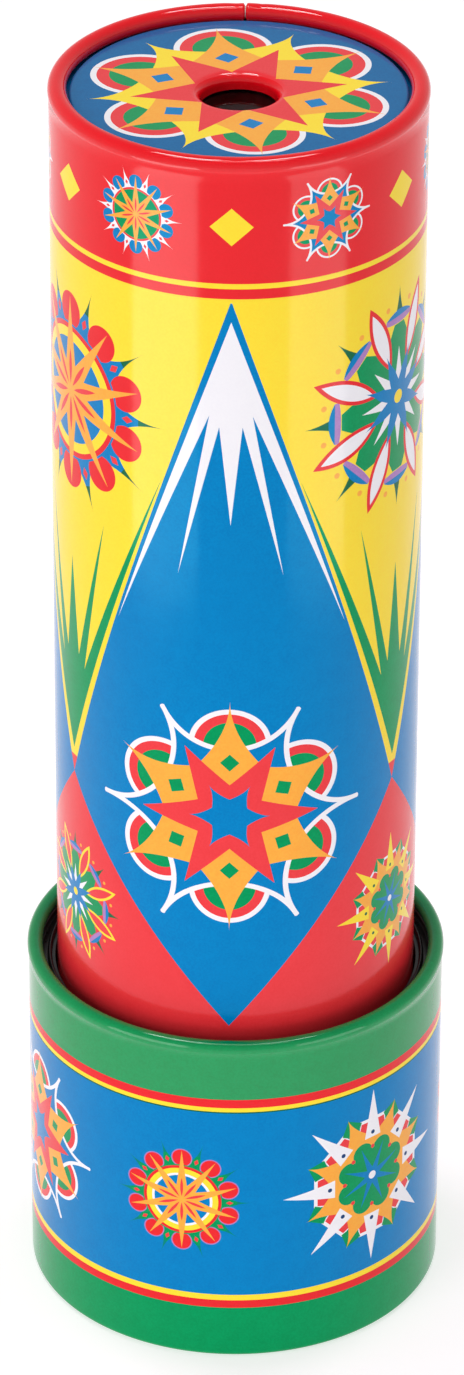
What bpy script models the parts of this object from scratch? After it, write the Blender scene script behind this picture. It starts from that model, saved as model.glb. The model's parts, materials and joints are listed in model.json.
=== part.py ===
"""Tin kaleidoscope: a printed tube with three mirrors in it, and a cup of loose pieces that turns on it.

Metres, +Z up. The origin is the middle of the cup's underside and +Z is the tube's axis.
The tube half (lid, windows, mirrors, liner) stays still. The cup half (collar, object chamber)
turns about Z, and the loose pieces travel round the chamber inside it.
"""
import math

import bmesh
import bpy
from mathutils import Matrix, Vector

MM = 0.001

# --- Overall sizes -------------------------------------------------------------------------
OVERALL_HEIGHT = 209.5 * MM
TUBE_RADIUS = 28.5 * MM
CUP_RADIUS = 33.15 * MM
CUP_HEIGHT = 59.4 * MM

# --- Sheet metal -----------------------------------------------------------------------------
TIN = 0.5 * MM                    # wall of the tube and of the cup
LID_TIN = 0.4 * MM                # wall of the lid
TUBE_CURL_RADIUS = 1.42 * MM      # section of the curl on the tube's top edge
TUBE_CURL_PROUD = 0.15 * MM       # how far that curl stands out past the wall
CUP_CURL_RADIUS = 1.25 * MM
CUP_CURL_PROUD = 0.2 * MM
CUP_CORNER_RADIUS = 0.9 * MM
CUP_FLOOR_WIDTH = 6.0 * MM        # flat ring turned in at the cup's foot

# --- Fits ------------------------------------------------------------------------------------
GAP = 0.3 * MM                    # between pieces that rest on or sit in each other
RUNNING_GAP = 0.4 * MM            # between pieces that turn on each other

# --- Eyepiece --------------------------------------------------------------------------------
LID_RECESS = 1.9 * MM             # lid's flat below the top of the curl
LID_PANEL_CLEARANCE = 0.35 * MM   # raised panel's side to the curl
LID_SHOULDER_RADIUS = 0.5 * MM
LID_SKIRT_DEPTH = 3.4 * MM
EYE_HOLE_RADIUS = 5.75 * MM
EYE_LIP_RADIUS = 0.9 * MM         # rounding of the drawn lip
EYE_LIP_DEPTH = 2.5 * MM
EYEPIECE_WINDOW_THICKNESS = 1.6 * MM
WASHER_THICKNESS = 2.0 * MM
WASHER_BORE_RADIUS = 9.0 * MM
SIGHTING_CARD_THICKNESS = 1.0 * MM
SIGHTING_HOLE_RADIUS = 7.5 * MM

# --- Mirror set ------------------------------------------------------------------------------
MIRROR_THICKNESS = 2.0 * MM
LINER_WALL = 0.8 * MM
MIRROR_FOOT_THICKNESS = 3.0 * MM
TUBE_WINDOW_THICKNESS = 1.5 * MM

# --- Rings that join the tube and the cup ----------------------------------------------------
END_RING_LIP_THICKNESS = 1.5 * MM
END_RING_LIP_WIDTH = 3.0 * MM     # reach of the lip in under the tube's edge
END_RING_HEIGHT = 10.0 * MM
COLLAR_HEIGHT = 8.0 * MM
FLANGE_HEIGHT = 8.0 * MM
COLLAR_RIDGE_HEIGHT = 0.9 * MM
COLLAR_RIDGE_WIDTH = 0.7 * MM
COLLAR_RIDGE_COUNT = 2

# --- Object chamber --------------------------------------------------------------------------
DIFFUSER_THICKNESS = 2.0 * MM
CHAMBER_DEPTH = 12.0 * MM
CHAMBER_WALL = 1.6 * MM
CHAMBER_WINDOW_THICKNESS = 1.5 * MM
RETAINING_RING_HEIGHT = 2.2 * MM
RETAINING_RING_WIDTH = 2.4 * MM
RETAINING_RING_SPLIT = 3.0 * MM   # width of the gap that lets it spring in
CUTTER_MARGIN = 2.0 * MM

# --- Loose pieces ----------------------------------------------------------------------------
CHIP_THICKNESS = 2.0 * MM
TRACK_GAP = 0.5 * MM              # between the rings that two loose pieces sweep
LOWER_CHIP_REACHES = [2.6 * MM, 2.3 * MM, 2.4 * MM, 2.3 * MM, 2.3 * MM, 2.0 * MM]
UPPER_CHIP_REACHES = [3.4 * MM, 3.6 * MM]
UPPER_TRACK_START = 6.0 * MM      # inner edge of the first ring of the upper layer
ROD_RADIUS = 1.0 * MM
BEAD_BORE_SHARE = 0.5             # of the bead's reach
CRESCENT_BACK_SHARE = 0.5         # how far behind the horns its inner arc is centred, of its reach

SEGMENTS = 64                     # round the tin shells
INNER_SEGMENTS = 48               # round every inner ring and disc
ARC_STEPS = 6                     # round each half of a curl's section

# --- Places that follow from the sizes -------------------------------------------------------
TUBE_INNER = TUBE_RADIUS - TIN
CUP_INNER = CUP_RADIUS - TIN

DIFFUSER_Z = TIN + GAP
CHAMBER_Z = DIFFUSER_Z + DIFFUSER_THICKNESS + GAP
CHAMBER_WINDOW_Z = CHAMBER_Z + CHAMBER_DEPTH + GAP
RETAINING_RING_Z = CHAMBER_WINDOW_Z + CHAMBER_WINDOW_THICKNESS + GAP
END_RING_Z = RETAINING_RING_Z + RETAINING_RING_HEIGHT + RUNNING_GAP
TUBE_Z = END_RING_Z + END_RING_LIP_THICKNESS + GAP
TUBE_WINDOW_Z = TUBE_Z
LINER_Z = TUBE_WINDOW_Z + TUBE_WINDOW_THICKNESS + GAP
MIRROR_Z = LINER_Z + MIRROR_FOOT_THICKNESS + GAP

TUBE_CURL_CENTRE = TUBE_RADIUS + TUBE_CURL_PROUD - TUBE_CURL_RADIUS
CUP_CURL_CENTRE = CUP_RADIUS + CUP_CURL_PROUD - CUP_CURL_RADIUS

LID_Z = OVERALL_HEIGHT - LID_RECESS
LID_FLANGE_Z = OVERALL_HEIGHT - 2 * TUBE_CURL_RADIUS - GAP
LID_SKIRT_Z = LID_FLANGE_Z - LID_SKIRT_DEPTH
LID_SKIRT_RADIUS = TUBE_INNER - GAP
LID_PANEL_RADIUS = TUBE_CURL_CENTRE - TUBE_CURL_RADIUS - LID_PANEL_CLEARANCE
EYEPIECE_WINDOW_TOP = min(LID_Z - EYE_LIP_DEPTH, LID_FLANGE_Z - LID_TIN) - GAP
EYEPIECE_WINDOW_Z = EYEPIECE_WINDOW_TOP - EYEPIECE_WINDOW_THICKNESS
WASHER_TOP = min(EYEPIECE_WINDOW_Z, LID_SKIRT_Z) - GAP
WASHER_Z = WASHER_TOP - WASHER_THICKNESS
LINER_TOP = WASHER_Z - GAP
SIGHTING_CARD_Z = LINER_TOP - SIGHTING_CARD_THICKNESS
MIRROR_TOP = SIGHTING_CARD_Z - GAP

LINER_RADIUS = TUBE_INNER - GAP
LINER_INNER = LINER_RADIUS - LINER_WALL
INSERT_RADIUS = LINER_INNER - GAP

RING_OUTER = CUP_INNER - RUNNING_GAP
SEATED_OUTER = CUP_INNER - GAP
COLLAR_TOP = CUP_HEIGHT - 2 * CUP_CURL_RADIUS - GAP - COLLAR_RIDGE_HEIGHT
COLLAR_Z = COLLAR_TOP - COLLAR_HEIGHT
FLANGE_Z = COLLAR_Z - RUNNING_GAP - FLANGE_HEIGHT
CHAMBER_INNER = SEATED_OUTER - CHAMBER_WALL
LOWER_CHIP_Z = CHAMBER_Z
UPPER_CHIP_Z = LOWER_CHIP_Z + CHIP_THICKNESS + TRACK_GAP


def mirror_inradius():
    """Distance from the axis to each mirror's face, so that the backs' corners meet the inserts' circle.

    The faces are as wide as the prism allows: half width = sqrt(3) * d - GAP. A back corner lies
    at (half width, d + thickness), and its distance from the axis equals INSERT_RADIUS.
    """
    root3 = math.sqrt(3)
    b = 2 * (MIRROR_THICKNESS - root3 * GAP)
    c = GAP ** 2 + MIRROR_THICKNESS ** 2 - INSERT_RADIUS ** 2
    return (-b + math.sqrt(b * b - 16 * c)) / 8


PRISM_INRADIUS = mirror_inradius()
MIRROR_WIDTH = 2 * (math.sqrt(3) * PRISM_INRADIUS - GAP)


# --- Materials -------------------------------------------------------------------------------
def material(name, colour, roughness=0.4, metallic=0.0, alpha=1.0):
    """A Principled material of one colour."""
    mat = bpy.data.materials.new(name)
    mat.use_nodes = True
    shader = mat.node_tree.nodes["Principled BSDF"]
    shader.inputs["Base Color"].default_value = (*colour, 1.0)
    shader.inputs["Roughness"].default_value = roughness
    shader.inputs["Metallic"].default_value = metallic
    shader.inputs["Alpha"].default_value = alpha
    mat.diffuse_color = (*colour, alpha)
    return mat


# --- Shape helpers ---------------------------------------------------------------------------
def add_object(name, bm, mat, smooth=True):
    """Closes a bmesh into a named object, with its faces pointing out."""
    bmesh.ops.remove_doubles(bm, verts=bm.verts[:], dist=1e-6)
    bmesh.ops.recalc_face_normals(bm, faces=bm.faces[:])
    mesh = bpy.data.meshes.new(name)
    bm.to_mesh(mesh)
    bm.free()
    if smooth:
        mesh.shade_smooth()
        mesh.set_sharp_from_angle(angle=math.radians(35))
    mesh.materials.append(mat)
    obj = bpy.data.objects.new(name, mesh)
    bpy.context.scene.collection.objects.link(obj)
    return obj


def turned(name, profile, mat, segments=INNER_SEGMENTS, closed=True):
    """A solid of revolution about Z. profile holds (radius, height) points.

    A closed profile is a ring's section. An open one starts and ends on the axis.
    """
    bm = bmesh.new()
    verts = [bm.verts.new((radius, 0.0, height)) for radius, height in profile]
    pairs = list(zip(verts, verts[1:]))
    if closed:
        pairs.append((verts[-1], verts[0]))
    edges = [bm.edges.new(pair) for pair in pairs]
    bmesh.ops.spin(bm, geom=verts + edges, axis=(0, 0, 1), cent=(0, 0, 0),
                   angle=math.tau, steps=segments, use_merge=True)
    return add_object(name, bm, mat)


def ring(name, inner, outer, low, high, mat):
    """A plain ring with a rectangular section."""
    return turned(name, [(outer, low), (outer, high), (inner, high), (inner, low)], mat)


def disc(name, radius, low, thickness, mat):
    """A plain round disc."""
    high = low + thickness
    return turned(name, [(0, low), (radius, low), (radius, high), (0, high)], mat, closed=False)


def arc(centre, radius, start, stop, steps=ARC_STEPS):
    """Points on an arc in the profile's plane, with the angles in degrees."""
    step = math.radians(stop - start) / steps
    return [(centre[0] + radius * math.cos(math.radians(start) + i * step),
             centre[1] + radius * math.sin(math.radians(start) + i * step)) for i in range(steps + 1)]


def curl(centre_radius, top, section, outer, inner):
    """Section of a curl rolled inwards on a wall that runs from outer to inner, up to the height top."""
    start = -math.degrees(math.acos((outer - centre_radius) / section))
    stop = 360 - math.degrees(math.acos((inner - centre_radius) / section))
    return arc((centre_radius, top - section), section, start, stop, 2 * ARC_STEPS)


def prism(name, outline, low, thickness, mat, smooth=False):
    """A flat outline of (x, y) points, made thick along Z."""
    bm = bmesh.new()
    face = bm.faces.new([bm.verts.new((x, y, low)) for x, y in outline])
    grown = bmesh.ops.extrude_face_region(bm, geom=[face])
    raised = [item for item in grown["geom"] if isinstance(item, bmesh.types.BMVert)]
    bmesh.ops.translate(bm, verts=raised, vec=(0, 0, thickness))
    return add_object(name, bm, mat, smooth)


def cut(obj, cutter):
    """Takes the cutter out of the object with an exact Boolean."""
    cutter.hide_render = True
    cutter.display_type = "WIRE"
    modifier = obj.modifiers.new("cut_" + cutter.name, "BOOLEAN")
    modifier.operation = "DIFFERENCE"
    modifier.object = cutter


def polygon(count, radius, turn=0.0):
    """Corners of a regular polygon, the first one at the angle turn in degrees."""
    return [(radius * math.cos(math.radians(turn) + math.tau * i / count),
             radius * math.sin(math.radians(turn) + math.tau * i / count)) for i in range(count)]


# --- Tube half -------------------------------------------------------------------------------
def build_tin_tube(mat):
    """The printed tube: a plain wall, with its top edge rolled inwards into a curl."""
    wall = [(TUBE_INNER, TUBE_Z), (TUBE_RADIUS, TUBE_Z)]
    roll = curl(TUBE_CURL_CENTRE, OVERALL_HEIGHT, TUBE_CURL_RADIUS, TUBE_RADIUS, TUBE_INNER)
    return turned("tin_tube", wall + roll, mat, SEGMENTS)


def build_eyepiece_lid(mat):
    """The pressed lid: skirt, flange under the curl, raised panel and a drawn eye hole."""
    shoulder = LID_SHOULDER_RADIUS
    lip = EYE_LIP_RADIUS
    hole = EYE_HOLE_RADIUS
    outer = [(LID_SKIRT_RADIUS, LID_SKIRT_Z), (LID_SKIRT_RADIUS, LID_FLANGE_Z),
             (LID_PANEL_RADIUS, LID_FLANGE_Z)]
    outer += arc((LID_PANEL_RADIUS - shoulder, LID_Z - shoulder), shoulder, 0, 90, 4)
    outer += arc((hole + lip, LID_Z - lip), lip, 90, 180, 5)
    outer += [(hole, LID_Z - EYE_LIP_DEPTH)]
    under = [(hole + LID_TIN, LID_Z - EYE_LIP_DEPTH)]
    under += arc((hole + lip, LID_Z - lip), lip - LID_TIN, 180, 90, 3)
    under += [(LID_PANEL_RADIUS - LID_TIN, LID_Z - LID_TIN),
              (LID_PANEL_RADIUS - LID_TIN, LID_FLANGE_Z - LID_TIN),
              (LID_SKIRT_RADIUS - LID_TIN, LID_FLANGE_Z - LID_TIN),
              (LID_SKIRT_RADIUS - LID_TIN, LID_SKIRT_Z)]
    return turned("eyepiece_lid", outer + under, mat)


def build_eyepiece(mats):
    """Window, washer and sighting card, in their order below the lid."""
    disc("eyepiece_window", LID_SKIRT_RADIUS - LID_TIN - GAP, EYEPIECE_WINDOW_Z,
         EYEPIECE_WINDOW_THICKNESS, mats["clear"])
    ring("eyepiece_washer", WASHER_BORE_RADIUS, LINER_RADIUS, WASHER_Z, WASHER_TOP, mats["black_card"])
    ring("sighting_card", SIGHTING_HOLE_RADIUS, INSERT_RADIUS, SIGHTING_CARD_Z,
         SIGHTING_CARD_Z + SIGHTING_CARD_THICKNESS, mats["black_card"])


def build_mirrors(mat):
    """Three long mirrors that face the axis, at a third of a turn from each other."""
    half = MIRROR_WIDTH / 2
    near = PRISM_INRADIUS
    far = near + MIRROR_THICKNESS
    for number in range(3):
        outline = [(-half, near), (half, near), (half, far), (-half, far)]
        mirror = prism(f"mirror_{number + 1}", outline, MIRROR_Z, MIRROR_TOP - MIRROR_Z, mat)
        mirror.rotation_euler.z = math.tau * number / 3


def build_mirror_foot(mat):
    """Card disc under the mirrors, open over the three-cornered view."""
    foot = disc("mirror_foot", INSERT_RADIUS, LINER_Z, MIRROR_FOOT_THICKNESS, mat)
    opening = polygon(3, 2 * PRISM_INRADIUS - 2 * GAP, -90)
    cutter = prism("mirror_foot_cutter", opening, LINER_Z - CUTTER_MARGIN,
                   MIRROR_FOOT_THICKNESS + 2 * CUTTER_MARGIN, mat)
    cut(foot, cutter)


def build_tube_end(mats):
    """Liner, end window, the ring that closes the tube's lower end, and the ring that keeps it in."""
    ring("card_liner", LINER_INNER, LINER_RADIUS, LINER_Z, LINER_TOP, mats["card"])
    disc("tube_end_window", TUBE_INNER - GAP, TUBE_WINDOW_Z, TUBE_WINDOW_THICKNESS, mats["clear"])
    bore = TUBE_RADIUS + GAP
    lip = TUBE_INNER - END_RING_LIP_WIDTH
    section = [(lip, END_RING_Z), (RING_OUTER, END_RING_Z), (RING_OUTER, END_RING_Z + END_RING_HEIGHT),
               (bore, END_RING_Z + END_RING_HEIGHT), (bore, END_RING_Z + END_RING_LIP_THICKNESS),
               (lip, END_RING_Z + END_RING_LIP_THICKNESS)]
    turned("tube_end_ring", section, mats["black"])
    ring("swivel_flange", bore, RING_OUTER, FLANGE_Z, FLANGE_Z + FLANGE_HEIGHT, mats["black"])


# --- Cup half --------------------------------------------------------------------------------
def build_tin_cup(mat):
    """The printed cup: floor ring, rounded foot, wall and a curl rolled inwards."""
    corner = CUP_CORNER_RADIUS
    centre = (CUP_RADIUS - corner, corner)
    floor_edge = CUP_RADIUS - CUP_FLOOR_WIDTH
    section = [(floor_edge, 0)]
    section += arc(centre, corner, -90, 0, 4)
    section += curl(CUP_CURL_CENTRE, CUP_HEIGHT, CUP_CURL_RADIUS, CUP_RADIUS, CUP_INNER)
    section += arc(centre, corner - TIN, 0, -90, 2)
    section += [(floor_edge, TIN)]
    return turned("tin_cup", section, mat, SEGMENTS)


def build_swivel_collar(mat):
    """The bearing ring in the cup's mouth, with raised ridges round its top face."""
    bore = TUBE_RADIUS + RUNNING_GAP
    pitch = (SEATED_OUTER - bore) / COLLAR_RIDGE_COUNT
    section = [(bore, COLLAR_Z), (SEATED_OUTER, COLLAR_Z), (SEATED_OUTER, COLLAR_TOP)]
    for number in reversed(range(COLLAR_RIDGE_COUNT)):
        middle = bore + pitch * (number + 0.5)
        outer = middle + COLLAR_RIDGE_WIDTH / 2
        inner = middle - COLLAR_RIDGE_WIDTH / 2
        crest = COLLAR_TOP + COLLAR_RIDGE_HEIGHT
        section += [(outer, COLLAR_TOP), (outer, crest), (inner, crest), (inner, COLLAR_TOP)]
    section += [(bore, COLLAR_TOP)]
    turned("swivel_collar", section, mat)


def build_chamber(mats):
    """Diffuser, wall, window and retaining ring of the object chamber, from the floor up."""
    disc("light_diffuser", SEATED_OUTER, DIFFUSER_Z, DIFFUSER_THICKNESS, mats["frosted"])
    ring("chamber_wall", CHAMBER_INNER, SEATED_OUTER, CHAMBER_Z, CHAMBER_Z + CHAMBER_DEPTH, mats["white"])
    disc("chamber_window", SEATED_OUTER, CHAMBER_WINDOW_Z, CHAMBER_WINDOW_THICKNESS, mats["clear"])
    retainer = ring("retaining_ring", SEATED_OUTER - RETAINING_RING_WIDTH, SEATED_OUTER,
                    RETAINING_RING_Z, RETAINING_RING_Z + RETAINING_RING_HEIGHT, mats["wire"])
    half = RETAINING_RING_SPLIT / 2
    reach = SEATED_OUTER + CUTTER_MARGIN
    start = SEATED_OUTER - RETAINING_RING_WIDTH - CUTTER_MARGIN
    cutter = prism("retaining_ring_cutter", [(-half, start), (half, start), (half, reach), (-half, reach)],
                   RETAINING_RING_Z - CUTTER_MARGIN, RETAINING_RING_HEIGHT + 2 * CUTTER_MARGIN, mats["wire"])
    cut(retainer, cutter)


# --- Loose pieces ----------------------------------------------------------------------------
def star_outline(reach, points=5, waist=0.45):
    """Alternate corners at the reach and at a share of it."""
    return [(reach * (waist if i % 2 else 1) * math.cos(math.pi * i / points),
             reach * (waist if i % 2 else 1) * math.sin(math.pi * i / points)) for i in range(2 * points)]


def crescent_outline(reach, steps=12):
    """A wide arc of the reach's circle, closed by a flatter arc between its two horns."""
    horn = 100
    horn_x = reach * math.cos(math.radians(horn))
    horn_y = reach * math.sin(math.radians(horn))
    back_x = horn_x - CRESCENT_BACK_SHARE * reach
    back_radius = math.hypot(horn_x - back_x, horn_y)
    opening = math.degrees(math.atan2(horn_y, horn_x - back_x))
    outer = arc((0, 0), reach, -horn, horn, steps)
    inner = arc((back_x, 0), back_radius, opening, -opening, steps)
    return outer + inner[1:-1]


def drop_outline(reach, steps=16):
    """A round that is drawn out to a point along X."""
    share = 0.55 * reach
    return [(reach, 0)] + arc((share - reach, 0), share, 60, 300, steps)


def build_flat_chip(name, outline, low, mat, smooth=False):
    """A chip that lies flat in its ring."""
    return prism(name, outline, low, CHIP_THICKNESS, mat, smooth)


def build_rod(name, reach, low, mat):
    """A short glass rod that lies along X."""
    bm = bmesh.new()
    turn = Matrix.Rotation(math.radians(90), 4, "Y") @ Matrix.Rotation(math.radians(15), 4, "Z")
    bmesh.ops.create_cone(bm, cap_ends=True, segments=12, radius1=ROD_RADIUS, radius2=ROD_RADIUS,
                          depth=2 * math.sqrt(reach ** 2 - ROD_RADIUS ** 2), matrix=turn)
    bmesh.ops.translate(bm, verts=bm.verts[:], vec=(0, 0, low + ROD_RADIUS))
    return add_object(name, bm, mat)


def build_bead(name, reach, low, mat):
    """A small ring bead that lies flat, with a round section."""
    section_radius = reach * (1 - BEAD_BORE_SHARE) / 2
    centre = (reach - section_radius, low + section_radius)
    section = arc(centre, section_radius, 0, 360 * 7 / 8, 7)
    return turned(name, section, mat, 20)


def place_round(chip, track_radius, turn):
    """Moves a chip out to its ring. Its mesh moves, and its origin stays on the chamber's axis."""
    shift = Matrix.Rotation(math.radians(turn), 4, "Z") @ Matrix.Translation(Vector((track_radius, 0, 0)))
    chip.data.transform(shift)


def build_loose_pieces(mats):
    """Lower pieces lie on the diffuser and upper ones over them, each in a ring of its own."""
    lower = [
        ("chip_star", "yellow"), ("chip_bead", "blue"), ("chip_triangle", "red"),
        ("chip_rod", "green"), ("chip_hexagon", "orange"), ("chip_square", "violet")]
    radius = 0.0
    golden = 137.5
    for number, ((name, colour), reach) in enumerate(zip(lower, LOWER_CHIP_REACHES)):
        low = LOWER_CHIP_Z
        mat = mats[colour]
        if name == "chip_star":
            chip = build_flat_chip(name, star_outline(reach), low, mat)
        elif name == "chip_bead":
            chip = build_bead(name, reach, low, mat)
        elif name == "chip_rod":
            chip = build_rod(name, reach, low, mat)
        else:
            sides = {"chip_triangle": 3, "chip_hexagon": 6, "chip_square": 4}[name]
            chip = build_flat_chip(name, polygon(sides, reach), low, mat)
        if number:
            radius += LOWER_CHIP_REACHES[number - 1] + TRACK_GAP + reach
        place_round(chip, radius, golden * number)
    upper = [("chip_crescent", crescent_outline, "pink"), ("chip_drop", drop_outline, "turquoise")]
    edge = UPPER_TRACK_START
    for number, ((name, outline, colour), reach) in enumerate(zip(upper, UPPER_CHIP_REACHES)):
        chip = build_flat_chip(name, outline(reach), UPPER_CHIP_Z, mats[colour], smooth=True)
        place_round(chip, edge + reach, golden * (number + 1) + 90)
        edge += 2 * reach + TRACK_GAP


def main():
    """Clears the scene and builds the tube half, the cup half and the loose pieces."""
    for obj in list(bpy.data.objects):
        bpy.data.objects.remove(obj, do_unlink=True)
    mats = {
        "tin_tube": material("printed_tin_tube", (0.85, 0.02, 0.03), 0.2),
        "tin_lid": material("printed_tin_lid", (0.0, 0.2, 0.55), 0.2),
        "tin_cup": material("printed_tin_cup", (0.0, 0.32, 0.1), 0.2),
        "clear": material("clear_plastic", (0.9, 0.93, 0.95), 0.05, alpha=0.35),
        "frosted": material("frosted_plastic", (0.92, 0.93, 0.93), 0.6, alpha=0.8),
        "mirror": material("silvered_glass", (0.9, 0.92, 0.92), 0.03, 1.0),
        "card": material("grey_card", (0.45, 0.38, 0.3), 0.9),
        "black_card": material("black_card", (0.02, 0.02, 0.02), 0.9),
        "black": material("black_plastic", (0.015, 0.015, 0.015), 0.35),
        "white": material("white_plastic", (0.85, 0.85, 0.83), 0.4),
        "wire": material("spring_steel", (0.55, 0.55, 0.56), 0.3, 1.0),
        "yellow": material("chip_yellow", (0.95, 0.75, 0.02), 0.1, alpha=0.7),
        "blue": material("chip_blue", (0.02, 0.1, 0.75), 0.1, alpha=0.7),
        "red": material("chip_red", (0.8, 0.02, 0.03), 0.1, alpha=0.7),
        "green": material("chip_green", (0.02, 0.55, 0.1), 0.1, alpha=0.7),
        "orange": material("chip_orange", (0.95, 0.3, 0.01), 0.1, alpha=0.7),
        "violet": material("chip_violet", (0.35, 0.03, 0.6), 0.1, alpha=0.7),
        "pink": material("chip_pink", (0.9, 0.08, 0.4), 0.1, alpha=0.7),
        "turquoise": material("chip_turquoise", (0.02, 0.6, 0.6), 0.1, alpha=0.7),
    }
    build_tin_tube(mats["tin_tube"])
    build_eyepiece_lid(mats["tin_lid"])
    build_eyepiece(mats)
    build_mirrors(mats["mirror"])
    build_mirror_foot(mats["card"])
    build_tube_end(mats)
    build_tin_cup(mats["tin_cup"])
    build_swivel_collar(mats["black"])
    build_chamber(mats)
    build_loose_pieces(mats)


main()
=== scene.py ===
"""Looks of the tin kaleidoscope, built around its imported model.

The printed tin shells are surfaces of revolution with real curls and seams. Their print is made of
shader nodes: every rosette, star and spike is a formula in the unrolled coordinates of the sheet.
"""

import functools
import json
import logging
import math
import operator
from abc import ABC, abstractmethod
from dataclasses import dataclass
from enum import Enum, IntEnum
from typing import Sequence, Union

import bpy
import numpy as np
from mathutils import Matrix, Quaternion, Vector


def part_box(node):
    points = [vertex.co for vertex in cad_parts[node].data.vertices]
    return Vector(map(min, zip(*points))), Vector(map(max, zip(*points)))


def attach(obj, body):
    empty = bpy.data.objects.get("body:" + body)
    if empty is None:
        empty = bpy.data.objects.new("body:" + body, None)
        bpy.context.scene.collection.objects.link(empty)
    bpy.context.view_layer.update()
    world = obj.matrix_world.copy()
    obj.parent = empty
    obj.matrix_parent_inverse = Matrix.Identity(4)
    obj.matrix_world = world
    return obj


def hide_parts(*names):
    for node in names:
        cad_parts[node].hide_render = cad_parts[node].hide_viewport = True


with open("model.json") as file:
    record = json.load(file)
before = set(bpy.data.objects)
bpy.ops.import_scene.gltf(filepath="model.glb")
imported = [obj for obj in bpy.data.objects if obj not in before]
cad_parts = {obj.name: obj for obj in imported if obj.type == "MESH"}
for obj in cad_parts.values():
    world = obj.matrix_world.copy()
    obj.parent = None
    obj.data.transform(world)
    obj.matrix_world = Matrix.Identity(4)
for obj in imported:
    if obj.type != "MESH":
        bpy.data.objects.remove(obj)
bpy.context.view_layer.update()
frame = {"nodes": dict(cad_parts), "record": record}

MM = 0.001
SHEET = 0.30 * MM
WHITE_LIGHT = (1.0, 1.0, 1.0, 1.0)
LOG = logging.getLogger("kaleidoscope")


# --- Inks and finishes ---------------------------------------------------------------------------
def linear(rgb: Sequence[float]) -> tuple[float, ...]:
    """Turns an sRGB colour of 0 to 255 into linear light.

    Args:
        rgb: Red, green and blue, each from 0 to 255.

    Returns:
        The same colour in linear light with an alpha of 1.
    """
    share = [value / 255 for value in rgb]
    return tuple(v / 12.92 if v <= 0.04045 else ((v + 0.055) / 1.055) ** 2.4 for v in share) + (1.0,)


class Ink(Enum):
    """The inks that the tin sheets are printed with."""

    RED = (236, 12, 28)
    YELLOW = (255, 226, 44)
    BLUE = (0, 130, 197)
    GREEN = (0, 154, 86)
    ORANGE = (253, 176, 58)
    WHITE = (244, 243, 248)
    DARK_GREEN = (20, 105, 60)
    TEAL = (0, 135, 120)
    LILAC = (178, 130, 196)
    NAVY = (28, 60, 120)
    CORAL = (238, 52, 60)
    DEEP_BLUE = (0, 104, 166)
    # Pale bare tin for the seams' cuts; its paleness is partly a painted highlight on the seam's edge.
    BARE = (226, 220, 214)

    @property
    def colour(self) -> tuple[float, ...]:
        """The ink in linear light."""
        return linear(self.value)


# --- Patterns made of shader nodes ---------------------------------------------------------------
Number = Union["Value", float]


class Value:
    """A number that changes over a surface: one output of a material's nodes."""

    def __init__(self, nodes: "PatternNodes", socket: bpy.types.NodeSocket) -> None:
        """Keeps the node tree and the output socket."""
        self.nodes = nodes
        self.socket = socket

    def __add__(self, other: Number) -> "Value":
        """Sum."""
        return self.nodes.math("ADD", self, other)

    def __radd__(self, other: Number) -> "Value":
        """Sum with a plain number on the left."""
        return self.nodes.math("ADD", self, other)

    def __sub__(self, other: Number) -> "Value":
        """Difference."""
        return self.nodes.math("SUBTRACT", self, other)

    def __rsub__(self, other: Number) -> "Value":
        """Difference with a plain number on the left."""
        return self.nodes.math("SUBTRACT", other, self)

    def __mul__(self, other: Number) -> "Value":
        """Product."""
        return self.nodes.math("MULTIPLY", self, other)

    def __rmul__(self, other: Number) -> "Value":
        """Product with a plain number on the left."""
        return self.nodes.math("MULTIPLY", self, other)

    def __lt__(self, other: Number) -> "Value":
        """1 where this is less, 0 elsewhere."""
        return self.nodes.math("LESS_THAN", self, other)

    def __gt__(self, other: Number) -> "Value":
        """1 where this is greater, 0 elsewhere."""
        return self.nodes.math("GREATER_THAN", self, other)

    def __and__(self, other: "Value") -> "Value":
        """1 where both masks are 1."""
        return self.nodes.math("MULTIPLY", self, other)

    def __or__(self, other: "Value") -> "Value":
        """1 where either mask is 1."""
        return self.nodes.math("MAXIMUM", self, other)

    def scaled(self, factor: float, offset: float = 0.0) -> "Value":
        """factor times this plus offset, in one node."""
        return self.nodes.math("MULTIPLY_ADD", self, factor, offset)

    def within(self, low: float, high: float) -> "Value":
        """1 between low and high."""
        return self.nodes.math("COMPARE", self, (low + high) / 2, (high - low) / 2)


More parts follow.
